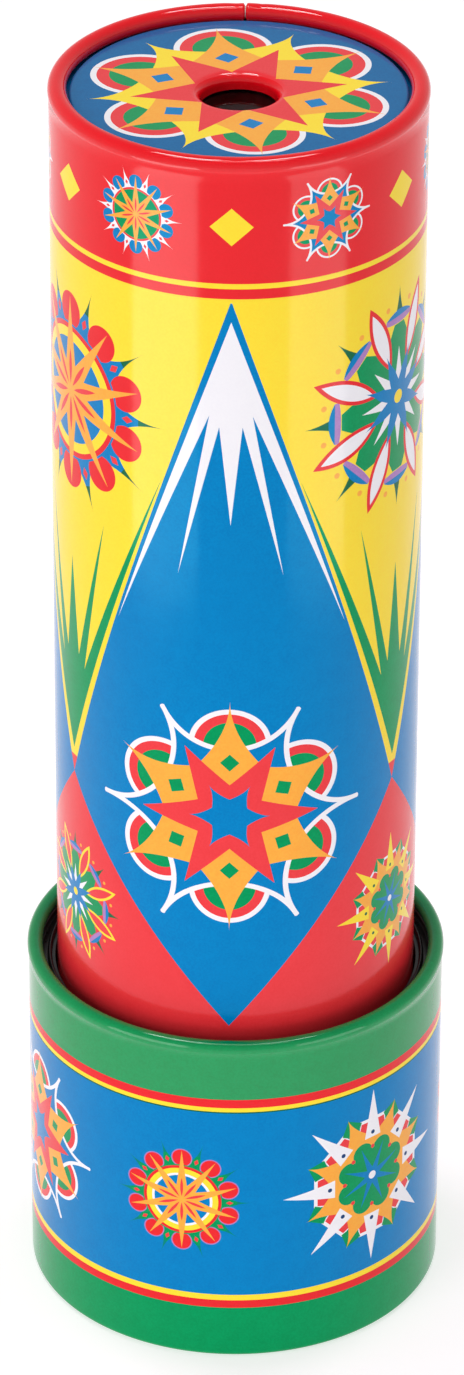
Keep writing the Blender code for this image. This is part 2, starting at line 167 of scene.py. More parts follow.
class PatternNodes:
    """A material's node tree, with short calls for the nodes that patterns are made of."""

    def __init__(self, name: str) -> None:
        """Makes an empty material with a Principled shader.

        Args:
            name: The material's name.
        """
        self.material = bpy.data.materials.new(name)
        self.material.use_nodes = True
        self.tree = self.material.node_tree
        self.shader = self.tree.nodes["Principled BSDF"]

    def node(self, kind: str, **settings: object) -> bpy.types.Node:
        """Adds a node and sets its properties.

        Args:
            kind: The node's type.
            settings: Its properties by name.

        Returns:
            The node.
        """
        node = self.tree.nodes.new(kind)
        for key, value in settings.items():
            setattr(node, key, value)
        return node

    def feed(self, socket: bpy.types.NodeSocket, value: object) -> None:
        """Links a Value to an input, or sets the input to a constant.

        Args:
            socket: The input.
            value: A Value, an output socket or a constant.
        """
        if isinstance(value, Value):
            self.tree.links.new(value.socket, socket)
        elif isinstance(value, bpy.types.NodeSocket):
            self.tree.links.new(value, socket)
        else:
            socket.default_value = value

    def math(self, operation: str, *terms: Number, clamp: bool = False) -> Value:
        """One Math node.

        Args:
            operation: The node's operation.
            terms: Its inputs, as Values or plain numbers.
            clamp: Whether the result is kept from 0 to 1.

        Returns:
            The result.
        """
        node = self.node("ShaderNodeMath", operation=operation, use_clamp=clamp)
        for socket, term in zip(node.inputs, terms):
            self.feed(socket, term)
        return Value(self, node.outputs[0])

    def object_point(self) -> bpy.types.NodeSocket:
        """The point's own place in metres, as a vector."""
        return self.node("ShaderNodeTexCoord").outputs["Object"]

    def place(self) -> tuple[Value, Value, Value]:
        """Splits the point's own place into three numbers.

        Returns:
            Its x, y and z in millimetres.
        """
        split = self.node("ShaderNodeSeparateXYZ")
        self.feed(split.inputs[0], self.object_point())
        return tuple(Value(self, socket).scaled(1 / MM) for socket in split.outputs)

    def noise(self, scale: float, detail: float = 3.0, stretch: Sequence[float] = (1, 1, 1)) -> Value:
        """Smooth noise from 0 to 1 on the point's own place.

        Args:
            scale: Waves per metre.
            detail: Octaves.
            stretch: How much faster it changes along each axis.

        Returns:
            The noise.
        """
        mapping = self.node("ShaderNodeMapping")
        mapping.inputs["Scale"].default_value = stretch
        self.feed(mapping.inputs["Vector"], self.object_point())
        noise = self.node("ShaderNodeTexNoise")
        self.feed(noise.inputs["Vector"], mapping.outputs[0])
        noise.inputs["Scale"].default_value = scale
        noise.inputs["Detail"].default_value = detail
        return Value(self, noise.outputs["Fac"])

    def spread(self, value: Value, low: float, high: float, to_low: float, to_high: float) -> Value:
        """Maps one range of a value to another, and holds the ends.

        Args:
            value: The value.
            low: The start of its range.
            high: The end of its range.
            to_low: What low becomes.
            to_high: What high becomes.

        Returns:
            The mapped value.
        """
        node = self.node("ShaderNodeMapRange")
        for socket, number in zip(node.inputs, (value, low, high, to_low, to_high)):
            self.feed(socket, number)
        return Value(self, node.outputs[0])

    def mix(self, mask: Value, below: object, above: object,
            blend: str = "MIX") -> bpy.types.NodeSocket:
        """Lays one colour over another where the mask is 1.

        Args:
            mask: How much of the upper colour shows.
            below: The lower colour, as a socket or four numbers.
            above: The upper colour, as a socket or four numbers.
            blend: How they combine.

        Returns:
            The colour socket.
        """
        node = self.node("ShaderNodeMix", data_type="RGBA", blend_type=blend)
        self.feed(node.inputs[0], mask)
        self.feed(node.inputs[6], below)
        self.feed(node.inputs[7], above)
        return node.outputs[2]

    def bump(self, *layers: tuple[Value, float]) -> None:
        """Gives the shader fine relief.

        Args:
            layers: Heights from 0 to 1, each with its depth in metres.
        """
        normal = None
        for height, depth in layers:
            node = self.node("ShaderNodeBump")
            node.inputs["Strength"].default_value = 1.0
            node.inputs["Distance"].default_value = depth
            self.feed(node.inputs["Height"], height)
            if normal is not None:
                self.feed(node.inputs["Normal"], normal)
            normal = node.outputs[0]
        self.feed(self.shader.inputs["Normal"], normal)


@dataclass(frozen=True)
class Fold:
    """A point's place beside the nearest of a rosette's evenly spaced axes.

    along runs out on the axis and across, never negative, runs away from it.
    """

    along: Value
    across: Value

    def disc(self, centre: float, radius: float) -> Value:
        """Mask of a disc on the axis: (along - centre)^2 + across^2 < radius^2."""
        offset = self.along - centre
        return (offset * offset + self.across * self.across) < radius * radius

    def ray(self, root: float, tip: float, half: float, power: float = 1.0) -> Value:
        """Mask of a tapered ray on the axis.

        Its half width is half * ((tip - along) / (tip - root)) ^ power, and it starts at root.

        Args:
            root: Where it starts on the axis.
            tip: Where it ends.
            half: Its half width at the root.
            power: How hollow its sides are; 1 is straight.

        Returns:
            The mask.
        """
        nodes = self.along.nodes
        length = tip - root
        share = nodes.math("MULTIPLY_ADD", self.along, -1 / length, tip / length, clamp=True)
        if power != 1.0:
            share = nodes.math("POWER", share, power)
        return (self.across < share * half) & (self.along > root)

    def star(self, tip: float, valley: float, count: int, power: float = 1.0) -> Value:
        """Mask of a whole star that has one tip on each axis and a valley halfway between two.

        Each side is a ray's side from the tip to the valley, at valley * (cos, sin) of half a step.

        Args:
            tip: Distance of the tips from the middle.
            valley: Distance of the valleys from the middle.
            count: Number of tips.
            power: How hollow the sides are; 1 is straight.

        Returns:
            The mask.
        """
        turn = math.pi / count
        root = valley * math.cos(turn)
        half = valley * math.sin(turn)
        nodes = self.along.nodes
        share = nodes.math("MULTIPLY_ADD", self.along, -1 / (tip - root), tip / (tip - root))
        if power != 1.0:
            share = nodes.math("POWER", nodes.math("MAXIMUM", share, 0.0), power)
        return self.across < share * half

    def leaf(self, centre: float, reach: float, half: float) -> Value:
        """Mask of a leaf on the axis: across < half * (1 - ((along - centre) / reach)^2)."""
        share = self.along.scaled(1 / reach, -centre / reach)
        return self.across < (1 - share * share) * half

    def lozenge(self, centre: float, reach: float, half: float) -> Value:
        """Mask of a lozenge on the axis: |along - centre| / reach + across / half < 1.

        Args:
            centre: Its middle on the axis.
            reach: Half its length.
            half: Half its width.

        Returns:
            The mask.
        """
        nodes = self.along.nodes
        share = nodes.math("ABSOLUTE", self.along.scaled(1 / reach, -centre / reach))
        return nodes.math("MULTIPLY_ADD", self.across, 1 / half, share) < 1.0

    def sector(self, slope: float) -> Value:
        """Mask of the wedge beside the axis where across < slope * along."""
        return self.across < self.along * slope


class Brush:
    """Lays inks over each other on one material, the last one on top."""

    def __init__(self, nodes: PatternNodes, ground: Ink) -> None:
        """Starts with a ground of one ink.

        Args:
            nodes: The material's nodes.
            ground: The ink of the ground.
        """
        self.nodes = nodes
        self.colour: object = ground.colour
        self.gate: Value | None = None

    def lay(self, mask: Value, ink: Ink) -> None:
        """Prints an ink where the mask is 1, inside the gate if there is one.

        Args:
            mask: Where it is printed.
            ink: The ink.
        """
        if self.gate is not None:
            mask = mask & self.gate
        self.colour = self.nodes.mix(mask, self.colour, ink.colour)


@dataclass(frozen=True)
class Centre:
    """Polar coordinates about a rosette's middle, in units of the rosette's own drawing."""

    nodes: PatternNodes
    distance: Value
    angle: Value

    @classmethod
    def at(cls, nodes: PatternNodes, x: Value, y: Value, scale: float) -> "Centre":
        """Polar coordinates of (x, y) millimetres, drawn at the given scale."""
        radius = nodes.math("SQRT", nodes.math("MULTIPLY_ADD", x, x, y * y)) * (1 / scale)
        return cls(nodes, radius, nodes.math("ARCTAN2", y, x))

    def fold(self, count: int, turn: float) -> Fold:
        """Folds the plane onto the nearest of count axes.

        The angle to it is |a - round(a)| * 2 pi / count, where a counts the axes from the turn.

        Args:
            count: Number of axes.
            turn: Direction of the first one, in degrees.

        Returns:
            The point's place beside the nearest axis.
        """
        step = math.tau / count
        counted = self.angle.scaled(1 / step, -math.radians(turn) / step)
        apart = self.nodes.math("PINGPONG", counted, 0.5) * step
        along = self.distance * self.nodes.math("COSINE", apart)
        across = self.distance * self.nodes.math("SINE", apart)
        return Fold(along, across)

    def disc(self, radius: float) -> Value:
        """Mask of a disc about the middle."""
        return self.distance < radius


# --- Rosettes ------------------------------------------------------------------------------------
class Rosette(ABC):
    """One printed rosette. reach is its radius as drawn, in millimetres."""

    reach: float

    @abstractmethod
    def draw(self, brush: Brush, centre: Centre) -> None:
        """Prints the rosette about its middle, in millimetres of its own drawing."""

    def stamp(self, brush: Brush, x: Value, y: Value, reach: float) -> None:
        """Prints the rosette at another size.

        Args:
            brush: What it is printed with.
            x: Sideways distance from its middle in millimetres.
            y: Upward distance from its middle in millimetres.
            reach: Its radius in millimetres.
        """
        self.draw(brush, Centre.at(brush.nodes, x, y, reach / self.reach))


@dataclass(frozen=True)
class LotusRosette(Rosette):
    """Six half-round petals behind a six-pointed figure of hollow arcs, with kites and a red star."""

    reach: float = 21.65
    star_turn: float = 0.0
    arc_centre: float = 24.05
    arc_radius: float = 12.05
    line: float = 0.42

    def draw(self, brush: Brush, centre: Centre) -> None:
        """Petals first, then the hollow figure, the kites, the red star and the blue star.

        Args:
            brush: What it is printed with.
            centre: Its middle.
        """
        petals = centre.fold(6, self.star_turn + 30)
        offset = petals.along - self.arc_centre
        outside = brush.nodes.math("SQRT", offset * offset + petals.across * petals.across)
        brush.lay(petals.disc(12.65, 6.45), Ink.WHITE)
        brush.lay(petals.disc(12.65, 5.6), Ink.CORAL)
        brush.lay(petals.disc(12.65, 4.1), Ink.GREEN)
        stars = centre.fold(6, self.star_turn)
        tip = stars.disc(self.reach - 0.55, 0.5) | centre.disc(self.reach - 0.85)
        brush.lay((outside > self.arc_radius - self.line) & tip, Ink.WHITE)
        brush.lay((outside > self.arc_radius + self.line) & centre.disc(self.reach - 1.6), Ink.BLUE)
        brush.lay(petals.ray(9.0, 20.7, 5.05, 2.0), Ink.ORANGE)
        brush.lay(petals.sector(0.56) & (petals.along < 9.1), Ink.ORANGE)
        brush.lay(petals.lozenge(9.65, 1.5, 1.5), Ink.GREEN)
        brush.lay(stars.star(14.05, 5.7, 6), Ink.CORAL)
        brush.lay(stars.star(6.4, 3.15, 6, 1.7), Ink.BLUE)


@dataclass(frozen=True)
class SunRosette(Rosette):
    """Ten round petals and ten thorns round a wheel with ten rays."""

    reach: float = 16.3
    petal: Ink = Ink.RED
    thorn: Ink = Ink.BLUE
    thorn_tip: Ink = Ink.DARK_GREEN
    bead: Ink = Ink.CORAL
    rim: Ink = Ink.RED
    band: Ink = Ink.YELLOW
    hub: Ink = Ink.BLUE
    lining: Ink = Ink.BLUE
    petal_edge: Ink = Ink.RED

    def draw(self, brush: Brush, centre: Centre) -> None:
        """Petals and thorns first, then the wheel's rings, the rays and their red veins.

        Args:
            brush: What it is printed with.
            centre: Its middle.
        """
        petals = centre.fold(10, 18)
        thorns = centre.fold(10, 0)
        brush.lay(thorns.ray(11.0, 20.3, 2.8, 2.7), self.thorn_tip)
        brush.lay(thorns.ray(11.0, 20.3, 2.8, 2.7) & (thorns.along < 15.2), self.thorn)
        brush.lay(centre.disc(12.3), self.thorn)
        beyond = centre.distance > 11.3
        brush.lay(petals.disc(13.5, 2.95) & beyond, self.petal_edge)
        brush.lay(petals.disc(13.5, 2.65) & beyond, self.petal)
        brush.lay(thorns.lozenge(13.2, 1.0, 0.62), self.bead)
        brush.lay(centre.disc(10.95), self.rim)
        brush.lay(centre.disc(10.1), self.band)
        brush.lay(centre.disc(8.5), self.lining)
        brush.lay(centre.disc(7.8), self.hub)
        brush.lay(petals.star(15.9, 4.7, 10, 1.05), Ink.ORANGE)
        brush.lay(petals.leaf(4.0, 3.0, 0.42), Ink.CORAL)


@dataclass(frozen=True)
class LeafRosette(Rosette):
    """Eight long leaves between eight scallops, round a blue star."""

    reach: float = 18.6
    edge: Ink = Ink.RED
    blade: Ink = Ink.WHITE

    def draw(self, brush: Brush, centre: Centre) -> None:
        """Thorns, scallops and ground first, then the leaves, the star and the eye.

        Args:
            brush: What it is printed with.
            centre: Its middle.
        """
        gaps = centre.fold(8, 0)
        leaves = centre.fold(8, 22.5)
        brush.lay(gaps.ray(14.2, 18.8, 0.95, 1.6), Ink.DARK_GREEN)
        dot_along = gaps.along - 15.5
        dot_across = gaps.across - 3.05
        brush.lay((dot_along * dot_along + dot_across * dot_across) < 0.22, Ink.ORANGE)
        bow = gaps.across * gaps.across
        near_gap = gaps.across < 3.45
        brush.lay((gaps.along + bow * 0.09 < 14.7) & (gaps.along > 13.4) & near_gap, Ink.BLUE)
        brush.lay((gaps.along < 13.6) & (gaps.along - bow * 0.03 > 12.5) & near_gap, Ink.LILAC)
        shoulder = (gaps.along < 12.4) & (gaps.across < gaps.along.scaled(-0.53, 7.9))
        brush.lay(shoulder & (gaps.across < 2.3), Ink.GREEN)
        brush.lay(leaves.leaf(12.05, 6.6, 1.95), self.edge)
        brush.lay(leaves.leaf(11.95, 5.3, 1.3), self.blade)
        brush.lay(centre.disc(5.6), Ink.GREEN)
        brush.lay(leaves.star(8.5, 3.7, 8, 1.5), Ink.BLUE)
        brush.lay(gaps.lozenge(4.3, 1.4, 0.78) | gaps.ray(4.29, 8.5, 0.78), Ink.WHITE)
        brush.lay(centre.disc(1.1), Ink.YELLOW)


@dataclass(frozen=True)
class FlowerRosette(Rosette):
    """Eight tall triangles and eight orange points round a green flower."""

    reach: float = 16.2
    triangle: Ink = Ink.WHITE
    dot: Ink = Ink.NAVY
    arch: Ink = Ink.CORAL
    outline: Ink = Ink.WHITE

    def draw(self, brush: Brush, centre: Centre) -> None:
        """Arches first, then the green tips, orange points, triangles and the flower.

        Args:
            brush: What it is printed with.
            centre: Its middle.
        """
        tall = centre.fold(8, 0)
        between = centre.fold(8, 22.5)
        brush.lay((tall.along < 11.0) & (tall.across < 2.7), self.outline)
        brush.lay((tall.along < 10.4) & (tall.across < tall.along.scaled(-0.2, 4.45)), self.arch)
        brush.lay(between.lozenge(10.9, 2.1, 2.0), Ink.GREEN)
        brush.lay(centre.disc(7.7), Ink.ORANGE)
        brush.lay(between.ray(7.2, 13.3, 2.8, 1.8), Ink.ORANGE)
        brush.lay(tall.ray(7.3, self.reach, 1.65), self.triangle)
        brush.lay(tall.disc(8.2, 0.38), self.dot)
        brush.lay(between.disc(5.05, 1.95) | centre.disc(4.5), Ink.GREEN)
        brush.lay(tall.disc(5.5, 0.36), Ink.CORAL)
        brush.lay(between.star(6.2, 1.5, 8, 1.2), Ink.BLUE)
        brush.lay(centre.disc(0.72), Ink.WHITE)


@dataclass(frozen=True)
class LidRosette(Rosette):
    """The lid's large figure: six ringed discs behind a yellow, an orange and a red star."""

    reach: float = 23.4
    kite_turn: float = 38.6

    def draw(self, brush: Brush, centre: Centre) -> None:
        """Discs first, then the yellow star, the orange star with its squares, and the red star.

        Args:
            brush: What it is printed with.
            centre: Its middle.
        """
        kites = centre.fold(6, self.kite_turn)
        tips = centre.fold(6, self.kite_turn + 30)
        brush.lay(kites.disc(15.5, 7.35), Ink.WHITE)
        brush.lay(kites.disc(15.5, 6.45), Ink.CORAL)
        brush.lay(kites.disc(15.5, 4.6), Ink.GREEN)
        brush.lay(tips.ray(12.0, 22.5, 7.9, 2.15) | (tips.along < 12.0), Ink.YELLOW)
        brush.lay(kites.ray(11.2, self.reach, 5.25, 1.95) | (kites.along < 11.2), Ink.ORANGE)
        brush.lay(kites.lozenge(12.0, 1.8, 1.8), Ink.BLUE)
        brush.lay(tips.star(16.0, 6.9, 6), Ink.CORAL)
        brush.lay(centre.disc(6.5), Ink.RED)


# --- Finishes ------------------------------------------------------------------------------------
@dataclass(frozen=True)
class PrintedTin:
    """Varnished print on tin sheet: glossy and a little uneven."""

    roughness: float = 0.13
    gloss: float = 0.30
    cool_sheen: tuple[float, ...] = (0.12, 0.8, 0.9, 1.0)
    wave_depth: float = 0.00006
    peel_depth: float = 0.0000025
    grain: float = 0.12

    def dress(self, nodes: PatternNodes, colour: object) -> bpy.types.Material:
        """Finishes a printed material.

        Args:
            nodes: The material's nodes.
            colour: The print's colour, as a socket or four numbers.

        Returns:
            The material.
        """
        mottle = nodes.spread(nodes.noise(420, 4), 0.3, 0.7, 0.0, 0.10) \
            + nodes.spread(nodes.noise(2600, 2), 0.35, 0.65, -0.03, self.grain)
        colour = nodes.mix(mottle, colour, (0.0, 0.0, 0.0, 1.0), "SOFT_LIGHT")
        nodes.feed(nodes.shader.inputs["Base Color"], colour)
        split = nodes.node("ShaderNodeSeparateColor")
        nodes.feed(split.inputs[0], colour)
        warm = nodes.spread(Value(nodes, split.outputs[0]), 0.0, 0.1, 0.0, 1.0)
        tint = nodes.mix(warm, self.cool_sheen, WHITE_LIGHT)
        nodes.feed(nodes.shader.inputs["Specular Tint"], tint)
        rough = nodes.spread(nodes.noise(160, 3), 0.3, 0.75, self.roughness * 0.8, self.roughness * 1.3)
        nodes.feed(nodes.shader.inputs["Roughness"], rough)
        nodes.shader.inputs["Specular IOR Level"].default_value = self.gloss
        nodes.bump((nodes.noise(22, 1), self.wave_depth), (nodes.noise(1800, 2), self.peel_depth))
        return nodes.material


class Finish(ABC):
    """A finish that makes its own material."""

    @abstractmethod
    def material(self) -> bpy.types.Material:
        """Makes the material."""


class BareTin(Finish):
    """The sheet's unprinted side: bright tin under a brownish lacquer, with rolling streaks."""

    def material(self) -> bpy.types.Material:
        """Makes the material from noise drawn out along the height.

        Returns:
            The material.
        """
        nodes = PatternNodes("lacquered_tin")
        streak = nodes.noise(260, 4, (1, 1, 0.06))
        share = nodes.spread(streak, 0.35, 0.7, 0, 1)
        colour = nodes.mix(share, linear((150, 112, 78)), linear((198, 170, 132)))
        nodes.feed(nodes.shader.inputs["Base Color"], colour)
        nodes.shader.inputs["Metallic"].default_value = 0.85
        rough = nodes.spread(nodes.noise(90, 3), 0.3, 0.7, 0.22, 0.42)
        nodes.feed(nodes.shader.inputs["Roughness"], rough)
        nodes.bump((streak, 0.000004))
        return nodes.material


@dataclass(frozen=True)
class DrawnWire(Finish):
    """Spring wire: bright steel with fine drawing marks along its turns."""

    name: str
    rgb: tuple[int, int, int] = (186, 188, 190)

    def material(self) -> bpy.types.Material:
        """Makes the material: the marks change both its shade and its gloss.

        Returns:
            The material.
        """
        nodes = PatternNodes(self.name)
        marks = nodes.noise(1500, 3, (1, 1, 4))
        dull = linear([c * 0.72 for c in self.rgb])
        nodes.feed(nodes.shader.inputs["Base Color"], nodes.mix(marks, linear(self.rgb), dull))
        nodes.shader.inputs["Metallic"].default_value = 1.0
        nodes.feed(nodes.shader.inputs["Roughness"], nodes.spread(marks, 0.3, 0.7, 0.18, 0.36))
        nodes.bump((marks, 0.000003))
        return nodes.material


@dataclass(frozen=True)
class Moulded(Finish):
    """Moulded plastic of one colour with a fine grain."""

    name: str
    rgb: tuple[int, int, int]
    roughness: float = 0.35
    grain: float = 0.000006

    def material(self) -> bpy.types.Material:
        """Makes the material: slow shade changes and a fine grain.

        Returns:
            The material.
        """
        nodes = PatternNodes(self.name)
        shade = nodes.spread(nodes.noise(60, 3), 0.3, 0.7, 0.0, 0.35)
        colour = nodes.mix(shade, linear(self.rgb), linear([min(255, c * 1.25 + 10) for c in self.rgb]))
        nodes.feed(nodes.shader.inputs["Base Color"], colour)
        rough = nodes.spread(nodes.noise(500, 4), 0.3, 0.7, self.roughness * 0.85, self.roughness * 1.2)
        nodes.feed(nodes.shader.inputs["Roughness"], rough)
        nodes.bump((nodes.noise(2500, 2), self.grain))
        return nodes.material


@dataclass(frozen=True)
class Card(Finish):
    """Pressed card with short fibres."""

    name: str
    rgb: tuple[int, int, int]

    def material(self) -> bpy.types.Material:
        """Makes the material: long fibres across short ones, matt.

        Returns:
            The material.
        """
        nodes = PatternNodes(self.name)
        fibres = nodes.noise(700, 5, (1, 0.12, 0.5)) * nodes.noise(700, 5, (0.12, 1, 0.5))
        tone = nodes.spread(fibres, 0.12, 0.4, 0, 1)
        light = linear([min(255, c * 1.35 + 12) for c in self.rgb])
        nodes.feed(nodes.shader.inputs["Base Color"], nodes.mix(tone, linear(self.rgb), light))
        nodes.shader.inputs["Roughness"].default_value = 0.9
        nodes.bump((fibres, 0.00004))
        return nodes.material


@dataclass(frozen=True)
class Clear(Finish):
    """Clear or tinted plastic or glass, with faint haze."""

    name: str
    rgb: tuple[int, int, int]
    ior: float = 1.49
    roughness: float = 0.02
    haze: float = 0.05
    transmission: float = 1.0

    def material(self) -> bpy.types.Material:
        """Makes the material: the tint deepens slowly and the gloss is smudged here and there.

        Returns:
            The material.
        """
        nodes = PatternNodes(self.name)
        tint = nodes.spread(nodes.noise(180, 3), 0.3, 0.7, 0.0, 0.3)
        deep = linear([c * 0.86 for c in self.rgb])
        nodes.feed(nodes.shader.inputs["Base Color"], nodes.mix(tint, linear(self.rgb), deep))
        nodes.shader.inputs["Transmission Weight"].default_value = self.transmission
        nodes.shader.inputs["IOR"].default_value = self.ior
        rough = nodes.spread(nodes.noise(320, 4), 0.45, 0.8, self.roughness, self.roughness + self.haze)
        nodes.feed(nodes.shader.inputs["Roughness"], rough)
        nodes.bump((nodes.noise(240, 2), 0.000004))
        return nodes.material


class Silvering(Finish):
    """The mirror strips' silver face, with faint smears."""

    def material(self) -> bpy.types.Material:
        """Makes the material: the smears dull both its colour and its gloss.

        Returns:
            The material.
        """
        nodes = PatternNodes("silvered_face")
        smear = nodes.noise(45, 5, (1, 1, 0.15))
        share = nodes.spread(smear, 0.5, 0.8, 0, 1)
        colour = nodes.mix(share, (0.93, 0.94, 0.94, 1), (0.84, 0.85, 0.83, 1))
        nodes.feed(nodes.shader.inputs["Base Color"], colour)
        nodes.shader.inputs["Metallic"].default_value = 1.0
        rough = nodes.spread(smear, 0.45, 0.85, 0.015, 0.09)
        nodes.feed(nodes.shader.inputs["Roughness"], rough)
        return nodes.material


# --- Surfaces of revolution ----------------------------------------------------------------------
def arc(centre: tuple[float, float], radius: float, start: float, stop: float, steps: int) -> np.ndarray:
    """Points (radius, height) on an arc of a section.

    Args:
        centre: The arc's middle in the section's plane.
        radius: Its radius.
        start: First angle in degrees.
        stop: Last angle in degrees.
        steps: Number of equal steps.

    Returns:
        One row for each point.
    """
    angle = np.radians(np.linspace(start, stop, steps + 1))
    return np.stack([centre[0] + radius * np.cos(angle), centre[1] + radius * np.sin(angle)], 1)


def spiral(centre: tuple[float, float], first: float, last: float, start: float, stop: float,
           steps: int) -> np.ndarray:
    """Points on a spiral of a section: its radius changes evenly with the angle.

    Args:
        centre: The spiral's middle.
        first: Radius at the start.
        last: Radius at the end.
        start: First angle in degrees.
        stop: Last angle in degrees.
        steps: Number of equal steps.

    Returns:
        One row (radius, height) for each point.
    """
    angle = np.radians(np.linspace(start, stop, steps + 1))
    radius = np.linspace(first, last, steps + 1)
    return np.stack([centre[0] + radius * np.cos(angle), centre[1] + radius * np.sin(angle)], 1)


def line(start: tuple[float, float], stop: tuple[float, float], steps: int) -> np.ndarray:
    """Evenly spaced points from start to stop."""
    share = np.linspace(0, 1, steps + 1)[:, None]
    return np.asarray(start) * (1 - share) + np.asarray(stop) * share


def joined(*runs: np.ndarray) -> np.ndarray:
    """Puts runs of a section end to end, without points that fall on each other.

    Args:
        runs: The runs, each with one row for a point.

    Returns:
        One row for each point that is left.
    """
    points = np.concatenate(runs)
    step = np.linalg.norm(np.diff(points, axis=0), axis=1)
    return points[np.concatenate([[True], step > 1e-7])]


def offset(path: np.ndarray, distance: float) -> np.ndarray:
    """Moves a path sideways to its right, along the mean normal at each point.

    Args:
        path: One row for each point.
        distance: How far it moves.

    Returns:
        The moved path.
    """
    step = np.gradient(path, axis=0)
    step /= np.linalg.norm(step, axis=1)[:, None]
    return path + distance * np.stack([step[:, 1], -step[:, 0]], 1)


def seam_angles(count: int, seam: float, window: float, extra: int) -> np.ndarray:
    """Angles round the axis from -pi, closer together near the seam.

    Args:
        count: Even steps round the whole turn.
        seam: The seam's direction in radians.
        window: Half width of the finer stretch in radians.
        extra: Number of steps in it.

    Returns:
        The angles, rising.
    """
    even = np.linspace(-np.pi, np.pi, count, endpoint=False)
    fine = np.linspace(seam - window, seam + window, extra)
    every = np.concatenate([even, (fine + np.pi) % math.tau - np.pi])
    return np.unique(np.round(every, 6))


class Shell:
    """A closed surface of revolution, with room for changes that depend on the direction."""

    def __init__(self, name: str, section: np.ndarray, angles: np.ndarray) -> None:
        """Turns a closed section about Z.

        A point is (r sin a, -r cos a, z): the angle a is 0 at the front and grows to the right.

        Args:
            name: The piece's name.
            section: Rows of (radius, height), round the section with the inside on the left.
            angles: Directions in radians, rising from -pi.
        """
        self.name = name
        self.section = section
        self.angles = angles
        self.radius = np.repeat(section[:, :1], len(angles), axis=1)
        self.height = np.repeat(section[:, 1:], len(angles), axis=1)

    def mesh(self, slots: np.ndarray, weights: np.ndarray) -> bpy.types.Mesh:
        """Builds the mesh, its smooth shading, its slots and its bake map.

        Args:
            slots: Material slot of each row of faces.
            weights: How much of the bake map's height each row of faces gets for its length.

        Returns:
            The mesh.
        """
        rows, columns = self.radius.shape
        a = self.angles[None, :]
        points = np.stack([self.radius * np.sin(a), -self.radius * np.cos(a), self.height], 2)
        row, column = np.meshgrid(np.arange(rows), np.arange(columns), indexing="ij")
        next_row = (row + 1) % rows
        next_column = (column + 1) % columns
        corners = np.stack([row * columns + column, row * columns + next_column,
                            next_row * columns + next_column, next_row * columns + column], 2)
        mesh = bpy.data.meshes.new(self.name)
        count = rows * columns
        mesh.vertices.add(count)
        mesh.vertices.foreach_set("co", points.ravel())
        mesh.loops.add(4 * count)
        mesh.loops.foreach_set("vertex_index", corners.ravel())
        mesh.polygons.add(count)
        mesh.polygons.foreach_set("loop_start", np.arange(0, 4 * count, 4))
        mesh.polygons.foreach_set("loop_total", np.full(count, 4))
        mesh.polygons.foreach_set("material_index", np.repeat(slots, columns))
        step = np.linalg.norm(np.roll(self.section, -1, axis=0) - self.section, axis=1) * weights
        top = np.concatenate([[0], np.cumsum(step)]) / step.sum()
        across = np.concatenate([(self.angles + np.pi) / math.tau, [1.0]])
        left, right = across[column], across[column + 1]
        low, high = top[row], top[row + 1]
        flat = np.stack([left, low, right, low, right, high, left, high], 2)
        mesh.uv_layers.new(name="OFBake").data.foreach_set("uv", flat.ravel())
        mesh.update(calc_edges=True)
        mesh.validate()
        mesh.shade_smooth()
        mesh.set_sharp_from_angle(angle=math.radians(50))
        return mesh


def add_piece(name: str, mesh: bpy.types.Mesh, body: str, replaces: Sequence[str] = ()
              ) -> bpy.types.Object:
    """Puts a mesh into the scene as a piece that rides on a body.

    Args:
        name: The piece's name.
        mesh: Its mesh, in its place.
        body: The body that it moves with.
        replaces: Nodes that it stands for.

    Returns:
        The piece.
    """
    piece = bpy.data.objects.new(name, mesh)
    bpy.context.scene.collection.objects.link(piece)
    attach(piece, body)
    if replaces:
        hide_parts(*replaces)
    LOG.info("%s rides on %s with %d faces", name, body, len(mesh.polygons))
    return piece


def bump_shape(x: np.ndarray, middle: float, width: float) -> np.ndarray:
    """A smooth hump: exp(-((x - middle) / width)^2), with x taken round the turn."""
    apart = (x - middle + np.pi) % math.tau - np.pi
    return np.exp(-(apart / width) ** 2)


# --- The unrolled sheet ---------------------------------------------------------------------------
@dataclass
class Unrolled:
    """The unrolled sheet of a tin shell: the angle from the front, and the height in millimetres."""

    nodes: PatternNodes
    radius: float
    angle: Value
    height: Value

    @classmethod
    def on(cls, nodes: PatternNodes, radius: float) -> "Unrolled":
        """Reads the sheet's coordinates from the point's own place."""
        x, y, z = nodes.place()
        return cls(nodes, radius, nodes.math("ARCTAN2", x, y * -1.0), z)

    def column(self, count: float, turn: float, first: int | None = None,
               last: int | None = None) -> Value:
        """Signed distance along the sheet from the nearest of evenly spaced columns.

        Args:
            count: Columns in a whole turn.
            turn: Direction of column 0 in degrees.
            first: Lowest column number, if the row of columns ends.
            last: Highest column number.

        Returns:
            The distance in millimetres.
        """
        step = math.tau / count
        counted = self.angle.scaled(1 / step, -math.radians(turn) / step)
        nearest = self.nodes.math("ROUND", counted)
        if first is not None:
            nearest = self.nodes.math("MINIMUM", self.nodes.math("MAXIMUM", nearest, first), last)
        return (counted - nearest) * (step * self.radius)

    def sector(self, low: float, high: float) -> Value:
        """Mask of the directions between two angles in degrees."""
        return self.angle.within(math.radians(low), math.radians(high))


@dataclass(frozen=True)
class Edge:
    """A straight edge: how far out it is at one height, and its slope."""

    out: float
    height: float
    slope: float

    def at(self, height: Value) -> Value:
        """Distance from the middle line at each height z: out + slope * (z - height)."""
        return height.scaled(self.slope, self.out - self.slope * self.height)


